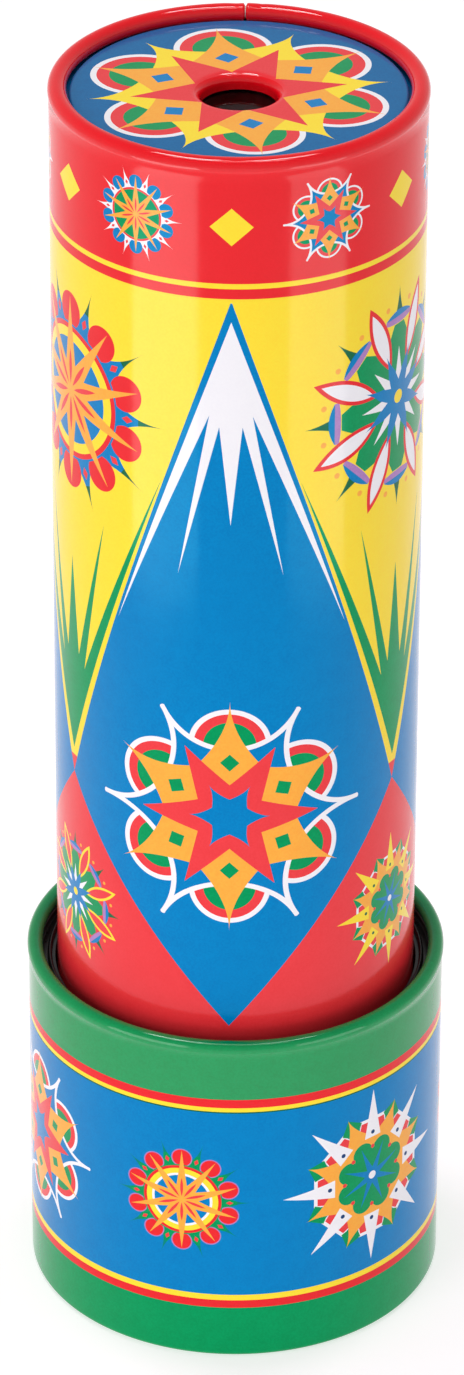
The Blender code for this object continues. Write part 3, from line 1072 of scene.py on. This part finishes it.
@dataclass(frozen=True)
class Spikes:
    """Five spikes side by side, in a field between two slanting edges. All in millimetres."""

    field: Edge
    outer: Edge
    second_inside: Edge
    second_outside: Edge
    middle: Edge

    def mask(self, apart: Value, height: Value) -> Value:
        """Mask of the spikes.

        Args:
            apart: Distance from the middle line.
            height: Height.

        Returns:
            The mask.
        """
        field = apart < self.field.at(height)
        outer = apart > self.outer.at(height)
        second = (apart > self.second_inside.at(height)) & (apart < self.second_outside.at(height))
        middle = apart < self.middle.at(height)
        return field & (outer | second | middle)


ICICLES = Spikes(Edge(0.0, 183.25, -0.3468), Edge(3.25, 167.6, -0.4045), Edge(1.75, 165.75, -0.2470),
                 Edge(3.25, 167.6, -0.1756), Edge(0.0, 149.1, 0.1051))
GRASS = Spikes(Edge(0.0, 101.6, 0.3535), Edge(3.4, 117.3, 0.4093), Edge(1.8, 119.1, 0.2594),
               Edge(3.4, 117.3, 0.1839), Edge(0.0, 135.75, -0.10811))


# --- Tin walls with a curled edge ------------------------------------------------------------------
@dataclass
class CurledTin:
    """A tin wall whose top edge is rolled outwards, with a seam where the sheet's ends meet."""

    sheet: float = SHEET
    curl_radius: float = 1.42 * MM
    curl_proud: float = 0.15 * MM
    curl_margin: float = 0.1 * MM
    roll_end: float = 285.0
    tuck_end: float = 420.0
    tuck_share: float = 0.55
    seam_direction: float = math.pi
    groove_half: float = 0.16 * MM

    def measure(self, node: str) -> None:
        """Takes the wall's and the curl's place from the model's box.

        The curl starts where the wall's middle line meets its circle.

        Args:
            node: The CAD node.
        """
        low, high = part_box(node)
        self.bottom = low[2]
        self.top = high[2]
        self.radius = high[0] - self.curl_proud
        self.wall = self.radius - self.sheet / 2
        self.curl_centre = (high[0] - self.curl_radius, self.top - self.curl_radius)
        self.curl_low = self.curl_centre[1] - self.curl_radius - self.curl_margin
        self.rolled = self.curl_radius - self.sheet / 2
        self.curl_start = -math.degrees(math.acos((self.wall - self.curl_centre[0]) / self.rolled))
        self.curl_foot = self.curl_centre[1] + self.rolled * math.sin(math.radians(self.curl_start))

    def curl(self) -> list[np.ndarray]:
        """Middle line of the curl: round its circle, and on inwards as a spiral.

        Returns:
            The two runs of points.
        """
        return [arc(self.curl_centre, self.rolled, self.curl_start, self.roll_end, 40),
                spiral(self.curl_centre, self.rolled, self.rolled * self.tuck_share,
                       self.roll_end, self.tuck_end, 14)]

    def turned(self, name: str, middle: np.ndarray, window: float, extra: int) -> tuple[Shell, np.ndarray]:
        """Gives a middle line the sheet's thickness and turns it about Z.

        Args:
            name: The piece's name.
            middle: Middle line of the sheet.
            window: Half width of the finer stretch at the seam, in radians.
            extra: Number of steps in it.

        Returns:
            The shell, and which rows of faces lie on the outer skin.
        """
        outer = offset(middle, self.sheet / 2)
        inner = offset(middle, -self.sheet / 2)
        section = np.concatenate([outer, inner[::-1]])
        shell = Shell(name, section, seam_angles(240, self.seam_direction, window, extra))
        return shell, np.arange(len(section)) < len(outer) - 1

    def on_curl(self, shell: Shell) -> np.ndarray:
        """1 for each point of the section that belongs to the curl, 0 for the others."""
        return (shell.section[:, 1:] > self.curl_low).astype(float)

    def from_seam(self, shell: Shell) -> np.ndarray:
        """Distance round the wall from the seam, for each direction."""
        apart = (shell.angles[None, :] - self.seam_direction + np.pi) % math.tau - np.pi
        return apart * self.radius

    def pinch(self, shell: Shell, depth: np.ndarray) -> None:
        """Draws the curl towards the middle of its circle.

        Args:
            shell: The shell.
            depth: Share of the way, for each direction.
        """
        share = self.on_curl(shell) * depth
        centre_r, centre_z = self.curl_centre
        shell.radius += (centre_r - shell.radius) * share
        shell.height += (centre_z - shell.height) * share

    def rolled_print(self, name: str, ink: Ink, tin: PrintedTin, width: float) -> bpy.types.Material:
        """Makes the finish of the curled edge in one ink, rubbed through here and there.

        Args:
            name: The material's name.
            ink: The edge's ink.
            tin: The varnish.
            width: Half the angle over which the cut between the sheet's ends is printed pale: partly bare
                tin, partly a painted highlight on the seam's edge.

        Returns:
            The material.
        """
        nodes = PatternNodes(name)
        brush = Brush(nodes, ink)
        rub = (nodes.noise(90, 2) > 0.72) & (nodes.noise(1400, 3) > 0.64)
        brush.lay(rub * 0.55, Ink.WHITE)
        # Pale stripe along the cut: partly bare tin, partly a painted highlight of the seam's bright edge.
        x, y, _ = nodes.place()
        sine, cosine = math.sin(self.seam_direction), math.cos(self.seam_direction)
        cut = nodes.math("ARCTAN2", x * cosine + y * sine, x * sine - y * cosine)
        brush.lay(cut.within(-width, width), Ink.BARE)
        return tin.dress(nodes, brush.colour)


# --- The tube ------------------------------------------------------------------------------------
class TubeSkin(IntEnum):
    """Material slots of the tube's shell."""

    BAND = 0
    UPPER = 1
    LOWER = 2
    BARE = 3
    CURL = 4


@dataclass
class TinTube(CurledTin):
    """The printed tube with its curled top edge and its lock seam at the back.

    Sizes of the sheet are in metres. Those of the print are in millimetres and degrees.
    """

    seam_direction: float = math.radians(178)
    notch_depth: float = 0.36
    seam_half: float = 2.2 * MM
    seam_soft: float = 0.25 * MM
    seam_rise: float = 0.10 * MM
    print_turn: float = -2.0
    line_low: float = 188.7
    line_high: float = 189.55
    band_middle: float = 198.8
    field_top: float = 187.05
    field_low: float = 100.4
    split: float = 123.0
    lozenge_top: float = 186.75
    lozenge_middle: float = 97.5
    lozenge_bottom: float = 60.0
    upper_rosettes: float = 164.2
    front_rosette: float = 98.1
    front_reach: float = 21.65
    side_reach: float = 17.5
    lower_rosettes: float = 75.4

    def shell(self) -> tuple[Shell, np.ndarray, np.ndarray]:
        """Turns the sheet, then presses the notch into the curl and the seam into the wall.

        The seam is a flat step, tanh up and tanh down, with a groove exp(-(x / half)^2) beside it.

        Returns:
            The shell, the slot of each row of faces and its share of the bake map.
        """
        split = self.split * MM
        middle = joined(line((self.wall, self.bottom), (self.wall, split), 44),
                        line((self.wall, split), (self.wall, self.curl_foot), 44), *self.curl())
        shell, is_outer = self.turned("tin_tube_shell", middle, 0.09, 41)
        direction = shell.angles[None, :]
        self.pinch(shell, self.notch_depth * bump_shape(direction, self.seam_direction, 0.006)
                   + 0.05 * bump_shape(direction, self.seam_direction + 0.05, 0.04)
                   + 0.04 * bump_shape(direction, self.seam_direction - 0.09, 0.03))
        x = self.from_seam(shell)
        step = 0.5 * (np.tanh((x + self.seam_half) / self.seam_soft)
                      - np.tanh((x - self.seam_half) / self.seam_soft))
        groove = np.exp(-((x - self.seam_half - 0.1 * MM) / self.groove_half) ** 2)
        pressed = self.seam_rise * step - self.groove_half * groove
        shell.radius += (1 - self.on_curl(shell)) * pressed
        section = shell.section
        height = (section[:, 1] + np.roll(section[:, 1], -1)) / 2
        slots = np.where(height > split, TubeSkin.UPPER, TubeSkin.LOWER)
        slots = np.where(height > self.field_top * MM, TubeSkin.BAND, slots)
        slots = np.where(is_outer, slots, TubeSkin.BARE)
        slots = np.where(height > self.curl_low, TubeSkin.CURL, slots)
        return shell, slots, np.where(is_outer, 1.0, 0.06)

    def build(self, tin: PrintedTin, bare: bpy.types.Material) -> bpy.types.Object:
        """Makes the tube and prints it.

        Args:
            tin: The print's finish.
            bare: Material of the unprinted side.

        Returns:
            The piece.
        """
        self.measure("tin_tube")
        shell, slots, weights = self.shell()
        mesh = shell.mesh(slots, weights)
        edge = PrintedTin(roughness=0.07, gloss=0.5)
        curl = self.rolled_print("tube_curl_print", Ink.RED, edge, 0.003)
        for material in (self.band_print(tin), self.upper_print(tin), self.lower_print(tin), bare, curl):
            mesh.materials.append(material)
        return add_piece("tin_tube_shell", mesh, "tube", ["tin_tube"])

    def band_print(self, tin: PrintedTin) -> bpy.types.Material:
        """The red band under the curl: a yellow line, lozenges and two kinds of small rosette.

        Args:
            tin: The print's finish.

        Returns:
            The material.
        """
        nodes = PatternNodes("tube_band_print")
        sheet = Unrolled.on(nodes, self.radius / MM)
        brush = Brush(nodes, Ink.RED)
        brush.lay(sheet.height < self.field_top, Ink.YELLOW)
        brush.lay(sheet.height.within(self.line_low, self.line_high), Ink.YELLOW)
        rise = sheet.height - self.band_middle
        side = sheet.column(6, self.print_turn)
        here = Fold(nodes.math("ABSOLUTE", rise), nodes.math("ABSOLUTE", side))
        brush.lay(here.lozenge(0.0, 3.05, 3.25), Ink.YELLOW)
        sun = SunRosette(petal=Ink.BLUE, petal_edge=Ink.BLUE, lining=Ink.GREEN, thorn=Ink.WHITE,
                         thorn_tip=Ink.WHITE, rim=Ink.CORAL, band=Ink.GREEN, hub=Ink.GREEN)
        sun.stamp(brush, sheet.column(3, self.print_turn - 30), rise, 6.35)
        LotusRosette(line=0.5).stamp(brush, sheet.column(3, self.print_turn + 30), rise, 7.35)
        return tin.dress(nodes, brush.colour)

    def lozenge(self, brush: Brush, sheet: Unrolled) -> Value:
        """Prints the blue lozenges, whose sides run straight from corner to corner.

        Args:
            brush: What they are printed with.
            sheet: The sheet's coordinates.

        Returns:
            Signed distance from the nearest lozenge's middle line.
        """
        side = sheet.column(3, self.print_turn)
        apart = brush.nodes.math("ABSOLUTE", side)
        half = self.radius / MM * math.pi / 3
        upper = Edge(0.0, self.lozenge_top, -half / (self.lozenge_top - self.lozenge_middle))
        lower = Edge(0.0, self.lozenge_bottom, half / (self.lozenge_middle - self.lozenge_bottom))
        brush.lay((apart < upper.at(sheet.height)) & (apart < lower.at(sheet.height)), Ink.BLUE)
        return side

    def grass(self, brush: Brush, sheet: Unrolled) -> Value:
        """Prints the green blades that fill the yellow V between two lozenges.

        Args:
            brush: What they are printed with.
            sheet: The sheet's coordinates.

        Returns:
            Signed distance from the nearest V's middle line.
        """
        gap = sheet.column(3, self.print_turn + 60)
        brush.lay(GRASS.mask(brush.nodes.math("ABSOLUTE", gap), sheet.height), Ink.GREEN)
        return gap

    def upper_print(self, tin: PrintedTin) -> bpy.types.Material:
        """The yellow field: lozenge tops with their icicles, grass, and two kinds of large rosette.

        Args:
            tin: The print's finish.

        Returns:
            The material.
        """
        nodes = PatternNodes("tube_upper_print")
        sheet = Unrolled.on(nodes, self.radius / MM)
        brush = Brush(nodes, Ink.YELLOW)
        side = self.lozenge(brush, sheet)
        brush.lay(ICICLES.mask(nodes.math("ABSOLUTE", side), sheet.height), Ink.WHITE)
        gap = self.grass(brush, sheet)
        rise = sheet.height - self.upper_rosettes
        brush.gate = sheet.sector(self.print_turn, self.print_turn + 120)
        LeafRosette().stamp(brush, gap, rise, 18.6)
        brush.gate = 1 - brush.gate
        SunRosette().stamp(brush, gap, rise, 16.3)
        return tin.dress(nodes, brush.colour)

    def lower_print(self, tin: PrintedTin) -> bpy.types.Material:
        """The red field: lozenge bottoms with the large rosette, and smaller ones in the gaps.

        The rosettes of the lozenges at the back are drawn smaller, at side_reach.

        Args:
            tin: The print's finish.

        Returns:
            The material.
        """
        nodes = PatternNodes("tube_lower_print")
        sheet = Unrolled.on(nodes, self.radius / MM)
        brush = Brush(nodes, Ink.CORAL)
        brush.lay(sheet.height > self.field_low, Ink.YELLOW)
        gap = self.grass(brush, sheet)
        side = self.lozenge(brush, sheet)
        front = sheet.sector(self.print_turn - 60, self.print_turn + 60)
        ratio = self.front_reach / self.side_reach
        shrink = front.scaled(1 - ratio, ratio)
        rise = (sheet.height - self.front_rosette) * shrink
        LotusRosette().stamp(brush, side * shrink, rise, self.front_reach)
        rise = sheet.height - self.lower_rosettes
        brush.gate = sheet.sector(self.print_turn, self.print_turn + 120)
        flower = FlowerRosette(triangle=Ink.YELLOW, dot=Ink.DARK_GREEN)
        flower.stamp(brush, gap, rise, 12.1)
        brush.gate = 1 - brush.gate
        LeafRosette(edge=Ink.YELLOW, blade=Ink.CORAL).stamp(brush, gap, rise, 11.2)
        return tin.dress(nodes, brush.colour)


# --- The lid -------------------------------------------------------------------------------------
@dataclass
class EyepieceLid:
    """The pressed lid with its raised panel and its drawn eye hole."""

    sheet: float = SHEET
    skirt_depth: float = 3.4 * MM
    skirt_round: float = 0.4 * MM
    panel_clearance: float = 0.35 * MM
    shoulder: float = 0.5 * MM
    hole: float = 5.75 * MM
    lip: float = 1.6 * MM
    lip_depth: float = 2.5 * MM
    curl_width: float = 2.84 * MM
    print_stretch: float = 1.025

    def __post_init__(self) -> None:
        """Takes the lid's place from the model's boxes."""
        low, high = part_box("eyepiece_lid")
        self.skirt_radius = high[0]
        self.bottom = low[2]
        self.panel = high[2]
        self.flange = self.bottom + self.skirt_depth
        self.panel_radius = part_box("tin_tube")[1][0] - self.curl_width - self.panel_clearance

    def skin(self) -> np.ndarray:
        """Middle line of the sheet: up the lip, across the panel, down its edge, and to the skirt.

        Returns:
            One row (radius, height) for each point.
        """
        half = self.sheet / 2
        lip_low = self.panel - self.lip_depth
        lip_top = self.panel - self.lip
        lip_out = self.hole + self.lip
        edge = self.panel_radius - half
        edge_in = self.panel_radius - self.shoulder
        edge_top = self.panel - self.shoulder
        ledge = self.flange - half
        skirt = self.skirt_radius - half
        skirt_in = self.skirt_radius - self.skirt_round
        skirt_top = self.flange - self.skirt_round
        return joined(
            line((self.hole + half, lip_low), (self.hole + half, lip_top), 6),
            arc((lip_out, lip_top), self.lip - half, 180, 90, 14),
            line((lip_out, self.panel - half), (edge_in, self.panel - half), 24),
            arc((edge_in, edge_top), self.shoulder - half, 90, 0, 8),
            line((edge, edge_top), (edge, self.flange), 3),
            line((edge, ledge), (skirt_in, ledge), 4),
            arc((skirt_in, skirt_top), self.skirt_round - half, 90, 0, 5),
            line((skirt, skirt_top), (skirt, self.bottom), 6),
        )

    def build(self, tin: PrintedTin, bare: bpy.types.Material) -> bpy.types.Object:
        """Makes the lid: both skins lie half the sheet's thickness from its middle line.

        Args:
            tin: The print's finish.
            bare: Material of the unprinted side.

        Returns:
            The piece.
        """
        middle = self.skin()
        outer = offset(middle, -self.sheet / 2)
        inner = offset(middle, self.sheet / 2)
        section = np.concatenate([outer, inner[::-1]])[::-1]
        angles = np.linspace(-np.pi, np.pi, 192, endpoint=False)
        shell = Shell("eyepiece_lid_panel", section, angles)
        is_outer = np.arange(len(section)) >= len(section) - len(outer)
        mesh = shell.mesh(np.where(is_outer, 0, 1), np.where(is_outer, 1.0, 0.1))
        mesh.materials.append(self.printed(tin))
        mesh.materials.append(bare)
        return add_piece("eyepiece_lid_panel", mesh, "tube", ["eyepiece_lid"])

    def printed(self, tin: PrintedTin) -> bpy.types.Material:
        """The lid's print: blue ground, the large figure and a red eye.

        Args:
            tin: The print's finish.

        Returns:
            The material.
        """
        nodes = PatternNodes("lid_print")
        x, y, _ = nodes.place()
        brush = Brush(nodes, Ink.DEEP_BLUE)
        figure = LidRosette()
        figure.stamp(brush, x * (1 / self.print_stretch), y * self.print_stretch, figure.reach)
        return tin.dress(nodes, brush.colour)


# --- The cup -------------------------------------------------------------------------------------
class CupSkin(IntEnum):
    """Material slots of the cup's shell."""

    PRINT = 0
    BARE = 1
    RIM = 2


@dataclass
class TinCup(CurledTin):
    """The printed cup with its curled rim, rounded foot and turned-in floor ring.

    Sizes of the sheet are in metres. Those of the print are in millimetres and degrees.
    """

    curl_radius: float = 1.25 * MM
    curl_proud: float = 0.2 * MM
    corner: float = 0.9 * MM
    floor_width: float = 6.0 * MM
    seam_direction: float = math.radians(-167)
    seam_depth: float = 0.14 * MM
    notch_depth: float = 0.30
    pitch: float = 56.0
    first_turn: float = -14.6
    middle: float = 29.65
    rim_from: float = 49.15
    stripes: tuple[tuple[float, float, Ink], ...] = (
        (9.5, 49.15, Ink.RED),
        (10.95, 47.6, Ink.YELLOW),
        (12.0, 46.85, Ink.DARK_GREEN),
        (12.0, 46.6, Ink.BLUE),
    )

    def shell(self) -> tuple[Shell, np.ndarray, np.ndarray]:
        """Turns the sheet, then presses the notch into the curl and the seam into the wall.

        The seam is a groove exp(-(x / half)^2).

        Returns:
            The shell, the slot of each row of faces and its share of the bake map.
        """
        half = self.sheet / 2
        rim = self.rim_from * MM
        foot = self.radius - self.corner
        middle = joined(
            line((self.radius - self.floor_width, half), (foot, half), 8),
            arc((foot, self.corner), self.corner - half, -90, 0, 8),
            line((self.wall, self.corner), (self.wall, rim), 34),
            line((self.wall, rim), (self.wall, self.curl_foot), 8),
            *self.curl(),
        )
        shell, is_outer = self.turned("tin_cup_shell", middle, 0.08, 31)
        direction = shell.angles[None, :]
        self.pinch(shell, self.notch_depth * bump_shape(direction, self.seam_direction, 0.008))
        groove = np.exp(-(self.from_seam(shell) / self.groove_half) ** 2)
        section = shell.section
        on_wall = (1 - self.on_curl(shell)) * (section[:, 1:] > self.corner)
        shell.radius -= on_wall * self.seam_depth * groove
        height = (section[:, 1] + np.roll(section[:, 1], -1)) / 2
        slots = np.where(is_outer, np.where(height > rim, CupSkin.RIM, CupSkin.PRINT), CupSkin.BARE)
        centre_r, centre_z = self.curl_centre
        rolled_out = (section[:, 1] > centre_z - 1.35 * self.curl_radius) \
            & (section[:, 0] > centre_r - 0.5 * self.curl_radius)
        return shell, np.where(rolled_out, CupSkin.RIM, slots), np.where(is_outer, 1.0, 0.08)

    def build(self, tin: PrintedTin, bare: bpy.types.Material) -> bpy.types.Object:
        """Makes the cup and prints it.

        Args:
            tin: The print's finish.
            bare: Material of the unprinted side.

        Returns:
            The piece.
        """
        self.measure("tin_cup")
        shell, slots, weights = self.shell()
        mesh = shell.mesh(slots, weights)
        edge = PrintedTin(roughness=0.09, gloss=0.42, cool_sheen=WHITE_LIGHT)
        for material in (self.printed(tin), bare,
                         self.rolled_print("cup_rim_print", Ink.GREEN, edge, 0.004)):
            mesh.materials.append(material)
        return add_piece("tin_cup_shell", mesh, "cup", ["tin_cup"])

    def printed(self, tin: PrintedTin) -> bpy.types.Material:
        """The cup's print: green ends, red and yellow lines, and a blue band with six rosettes.

        Args:
            tin: The print's finish.

        Returns:
            The material.
        """
        nodes = PatternNodes("cup_print")
        sheet = Unrolled.on(nodes, self.radius / MM)
        brush = Brush(nodes, Ink.GREEN)
        for low, high, ink in self.stripes:
            brush.lay(sheet.height.within(low, high), ink)
        rise = sheet.height - self.middle
        side = sheet.column(360 / self.pitch, self.first_turn, -2, 3)
        half = self.pitch / 2
        sun = SunRosette(thorn=Ink.GREEN, thorn_tip=Ink.TEAL, lining=Ink.WHITE, petal_edge=Ink.LILAC)
        for numbers, rosette, reach in (
                ((-1, 3), LotusRosette(), 15.5),
                ((-2, 0, 2), sun, 9.5),
                ((1,), FlowerRosette(), 16.2)):
            turns = [self.first_turn + self.pitch * number for number in numbers]
            sectors = [sheet.sector(turn - half, turn + half) for turn in turns]
            brush.gate = functools.reduce(operator.or_, sectors)
            rosette.stamp(brush, side, rise, reach)
        return tin.dress(nodes, brush.colour)


# --- The collar ----------------------------------------------------------------------------------
@dataclass
class SwivelCollar:
    """The black bearing ring in the cup's mouth, with two rounded ridges."""

    bore_clearance: float = 0.4 * MM
    ridge_height: float = 0.9 * MM
    ridge_width: float = 0.8 * MM
    tube_radius: float = 28.5 * MM

    def build(self, plastic: bpy.types.Material) -> bpy.types.Object:
        """Makes the ring: a ridge is a half round, height * sqrt(1 - t^2), on the flat top.

        Args:
            plastic: Its material.

        Returns:
            The piece.
        """
        low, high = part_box("swivel_collar")
        outer, bottom, top = high[0], low[2], high[2] - self.ridge_height
        bore = self.tube_radius + self.bore_clearance
        pitch = (outer - bore) / 2
        share = np.linspace(1, -1, 17)
        runs = [line((bore, bottom), (outer, bottom), 3), line((outer, bottom), (outer, top), 4)]
        for middle in (bore + 1.5 * pitch, bore + 0.5 * pitch):
            ridge = np.stack([middle + self.ridge_width / 2 * share,
                              top + self.ridge_height * np.sqrt(1 - share ** 2)], 1)
            runs.append(ridge)
        runs.append(line((bore, top), (bore, bottom + 0.2 * MM), 4))
        section = joined(*runs)
        shell = Shell("swivel_collar_ring", section, np.linspace(-np.pi, np.pi, 192, endpoint=False))
        mesh = shell.mesh(np.zeros(len(section), int), np.ones(len(section)))
        mesh.materials.append(plastic)
        return add_piece("swivel_collar_ring", mesh, "cup", ["swivel_collar"])


# --- Carried-over nodes --------------------------------------------------------------------------
def dress_nodes(materials: dict[str, bpy.types.Material]) -> None:
    """Gives each node that stays visible its finish.

    Args:
        materials: Material by the record's slot name.
    """
    slots = {entry["node"]: entry["material_slot"] for entry in frame["record"]["subparts"]}
    for name, node in frame["nodes"].items():
        material = materials.get(slots[name])
        if material is None:
            continue
        node.data.materials.clear()
        node.data.materials.append(material)
        LOG.info("%s wears %s", name, material.name)


# --- Studio --------------------------------------------------------------------------------------
@dataclass(frozen=True)
class SoftBox:
    """A rectangular soft light.

    place, size and aim are in metres, and radiance is how bright its face looks.
    """

    name: str
    place: tuple[float, float, float]
    size: tuple[float, float]
    radiance: float
    aim: tuple[float, float, float] = (0.0, 0.0, 0.12)
    lights_matt: bool = True
    seen_in_gloss: bool = True

    def build(self) -> None:
        """Makes the light, turned to its aim."""
        light = bpy.data.lights.new(self.name, "AREA")
        light.shape = "RECTANGLE"
        light.size, light.size_y = self.size
        light.energy = self.radiance * math.pi * self.size[0] * self.size[1]
        lamp = bpy.data.objects.new(self.name, light)
        lamp.location = self.place
        away = Vector(self.place) - Vector(self.aim)
        lamp.rotation_euler = away.to_track_quat("Z", "Y").to_euler()
        lamp.visible_camera = False
        lamp.visible_diffuse = self.lights_matt
        lamp.visible_glossy = self.seen_in_gloss
        bpy.context.scene.collection.objects.link(lamp)


@dataclass
class Studio:
    """Pale floor, white surround, soft boxes and the camera."""

    target: tuple[float, float, float] = (0.0, 0.0, 0.10468)
    distance: float = 1.06874
    elevation: float = math.radians(29.975)
    pan: float = math.radians(0.044)
    roll: float = math.radians(0.211)
    lens: float = 178.41
    horizon: float = 0.62
    zenith: float = 0.30
    floor_colour: tuple[float, ...] = (0.62, 0.56, 0.58, 1.0)
    floor_glow: float = 0.60
    floor_half: float = 6.0
    floor_drop: float = 0.2 * MM
    boxes: tuple[SoftBox, ...] = (
        SoftBox("overhead_left", (-0.245, 0.16, 1.27), (0.22, 0.34), 16.0),
        SoftBox("overhead_right", (0.200, 0.16, 1.27), (0.16, 0.34), 16.0),
        SoftBox("key", (-1.3, -1.5, 1.0), (1.1, 1.1), 3.3, seen_in_gloss=False),
        SoftBox("card_left", (-0.140, -0.150, 0.088), (0.15, 0.10), 3.0, lights_matt=False),
        SoftBox("card_right", (0.150, -0.140, 0.088), (0.13, 0.10), 2.0, lights_matt=False),
        SoftBox("front_strip", (-0.03, -0.15, 1.30), (0.80, 0.07), 9.0, lights_matt=False),
        SoftBox("low_fill", (-0.01, -0.20, 0.062), (0.36, 0.05), 0.9, (0.0, 0.0, 0.06),
                seen_in_gloss=False),
    )

    def build(self) -> None:
        """Makes everything that isn't part of the object."""
        bpy.context.scene.view_settings.view_transform = "Standard"
        self.floor()
        self.world()
        for box in self.boxes:
            box.build()
        self.camera()

    def floor(self) -> None:
        """A wide pale floor, a hair below the object's foot."""
        size, height = self.floor_half, -self.floor_drop
        corners = [(-size, -size, height), (size, -size, height),
                   (size, size, height), (-size, size, height)]
        mesh = bpy.data.meshes.new("floor")
        mesh.from_pydata(corners, [], [(0, 1, 2, 3)])
        nodes = PatternNodes("floor_white")
        nodes.shader.inputs["Base Color"].default_value = self.floor_colour
        nodes.shader.inputs["Emission Color"].default_value = WHITE_LIGHT
        nodes.shader.inputs["Emission Strength"].default_value = self.floor_glow
        nodes.shader.inputs["Roughness"].default_value = 0.7
        nodes.shader.inputs["Specular IOR Level"].default_value = 0.1
        mesh.materials.append(nodes.material)
        floor = bpy.data.objects.new("floor", mesh)
        bpy.context.scene.collection.objects.link(floor)

    def world(self) -> None:
        """A white surround that is brighter at the horizon than overhead."""
        world = bpy.data.worlds.new("surround")
        world.use_nodes = True
        tree = world.node_tree
        direction = tree.nodes.new("ShaderNodeTexCoord").outputs["Generated"]
        split = tree.nodes.new("ShaderNodeSeparateXYZ")
        tree.links.new(direction, split.inputs[0])
        fade = tree.nodes.new("ShaderNodeMapRange")
        for socket, number in zip(fade.inputs[1:5], (0.15, 0.85, self.horizon, self.zenith)):
            socket.default_value = number
        tree.links.new(split.outputs[2], fade.inputs[0])
        tree.nodes["Background"].inputs["Color"].default_value = WHITE_LIGHT
        tree.links.new(fade.outputs[0], tree.nodes["Background"].inputs["Strength"])
        bpy.context.scene.world = world

    def camera(self) -> None:
        """The camera, a little over a metre away and looking down at the object."""
        data = bpy.data.cameras.new("camera")
        data.lens = self.lens
        data.sensor_width = 36.0
        data.sensor_fit = "AUTO"
        data.clip_end = 100.0
        camera = bpy.data.objects.new("camera", data)
        middle = Vector(self.target)
        back = Vector((0.0, -math.cos(self.elevation), math.sin(self.elevation)))
        look = Quaternion((0, 0, 1), self.pan) @ (-back).to_track_quat("-Z", "Y")
        camera.location = middle + self.distance * back
        camera.rotation_euler = (look @ Quaternion((0, 0, 1), self.roll)).to_euler()
        bpy.context.scene.collection.objects.link(camera)
        bpy.context.scene.camera = camera


def inner_finishes(black: bpy.types.Material) -> dict[str, bpy.types.Material]:
    """Makes the finishes of the nodes that stay visible.

    Args:
        black: The black plastic, which the collar wears too.

    Returns:
        Material by the record's slot name.
    """
    finishes = {
        "clear_plastic": Clear("clear_plastic_sheet", (236, 240, 243), ior=1.15),
        "frosted_plastic": Clear("frosted_plastic_sheet", (240, 242, 243), roughness=0.55,
                                 haze=0.15, transmission=0.55),
        "silvered_glass": Silvering(),
        "grey_card": Card("grey_card_fibre", (150, 132, 108)),
        # The black card is coloured dark maroon: a painted red reflection, so the eye hole's inside looks
        # dark red.
        "black_card": Card("black_card_with_painted_red_reflection", (50, 9, 15)),
        "white_plastic": Moulded("white_plastic_grain", (232, 231, 226), 0.3),
        "spring_steel": DrawnWire("spring_steel_wire"),
    }
    tints = {"chip_yellow": (255, 205, 20), "chip_blue": (30, 70, 225), "chip_red": (225, 20, 30),
             "chip_green": (20, 170, 60), "chip_orange": (255, 125, 15),
             "chip_violet": (130, 40, 190), "chip_pink": (240, 60, 150),
             "chip_turquoise": (20, 180, 185)}
    for slot, rgb in tints.items():
        finishes[slot] = Clear(slot + "_glass", rgb, roughness=0.03, haze=0.04)
    materials = {slot: finish.material() for slot, finish in finishes.items()}
    materials["black_plastic"] = black
    return materials


def main() -> None:
    """Builds the studio, the printed shells and the finishes of the other nodes."""
    logging.basicConfig(level=logging.INFO, format="%(name)s: %(message)s")
    Studio().build()
    tin = PrintedTin()
    bare = BareTin().material()
    black = Moulded("black_plastic_grain", (22, 20, 21), 0.3).material()
    TinTube().build(tin, bare)
    EyepieceLid().build(PrintedTin(roughness=0.09, gloss=0.45), bare)
    TinCup().build(tin, bare)
    SwivelCollar().build(black)
    dress_nodes(inner_finishes(black))


if __name__ == "__main__":
    main()
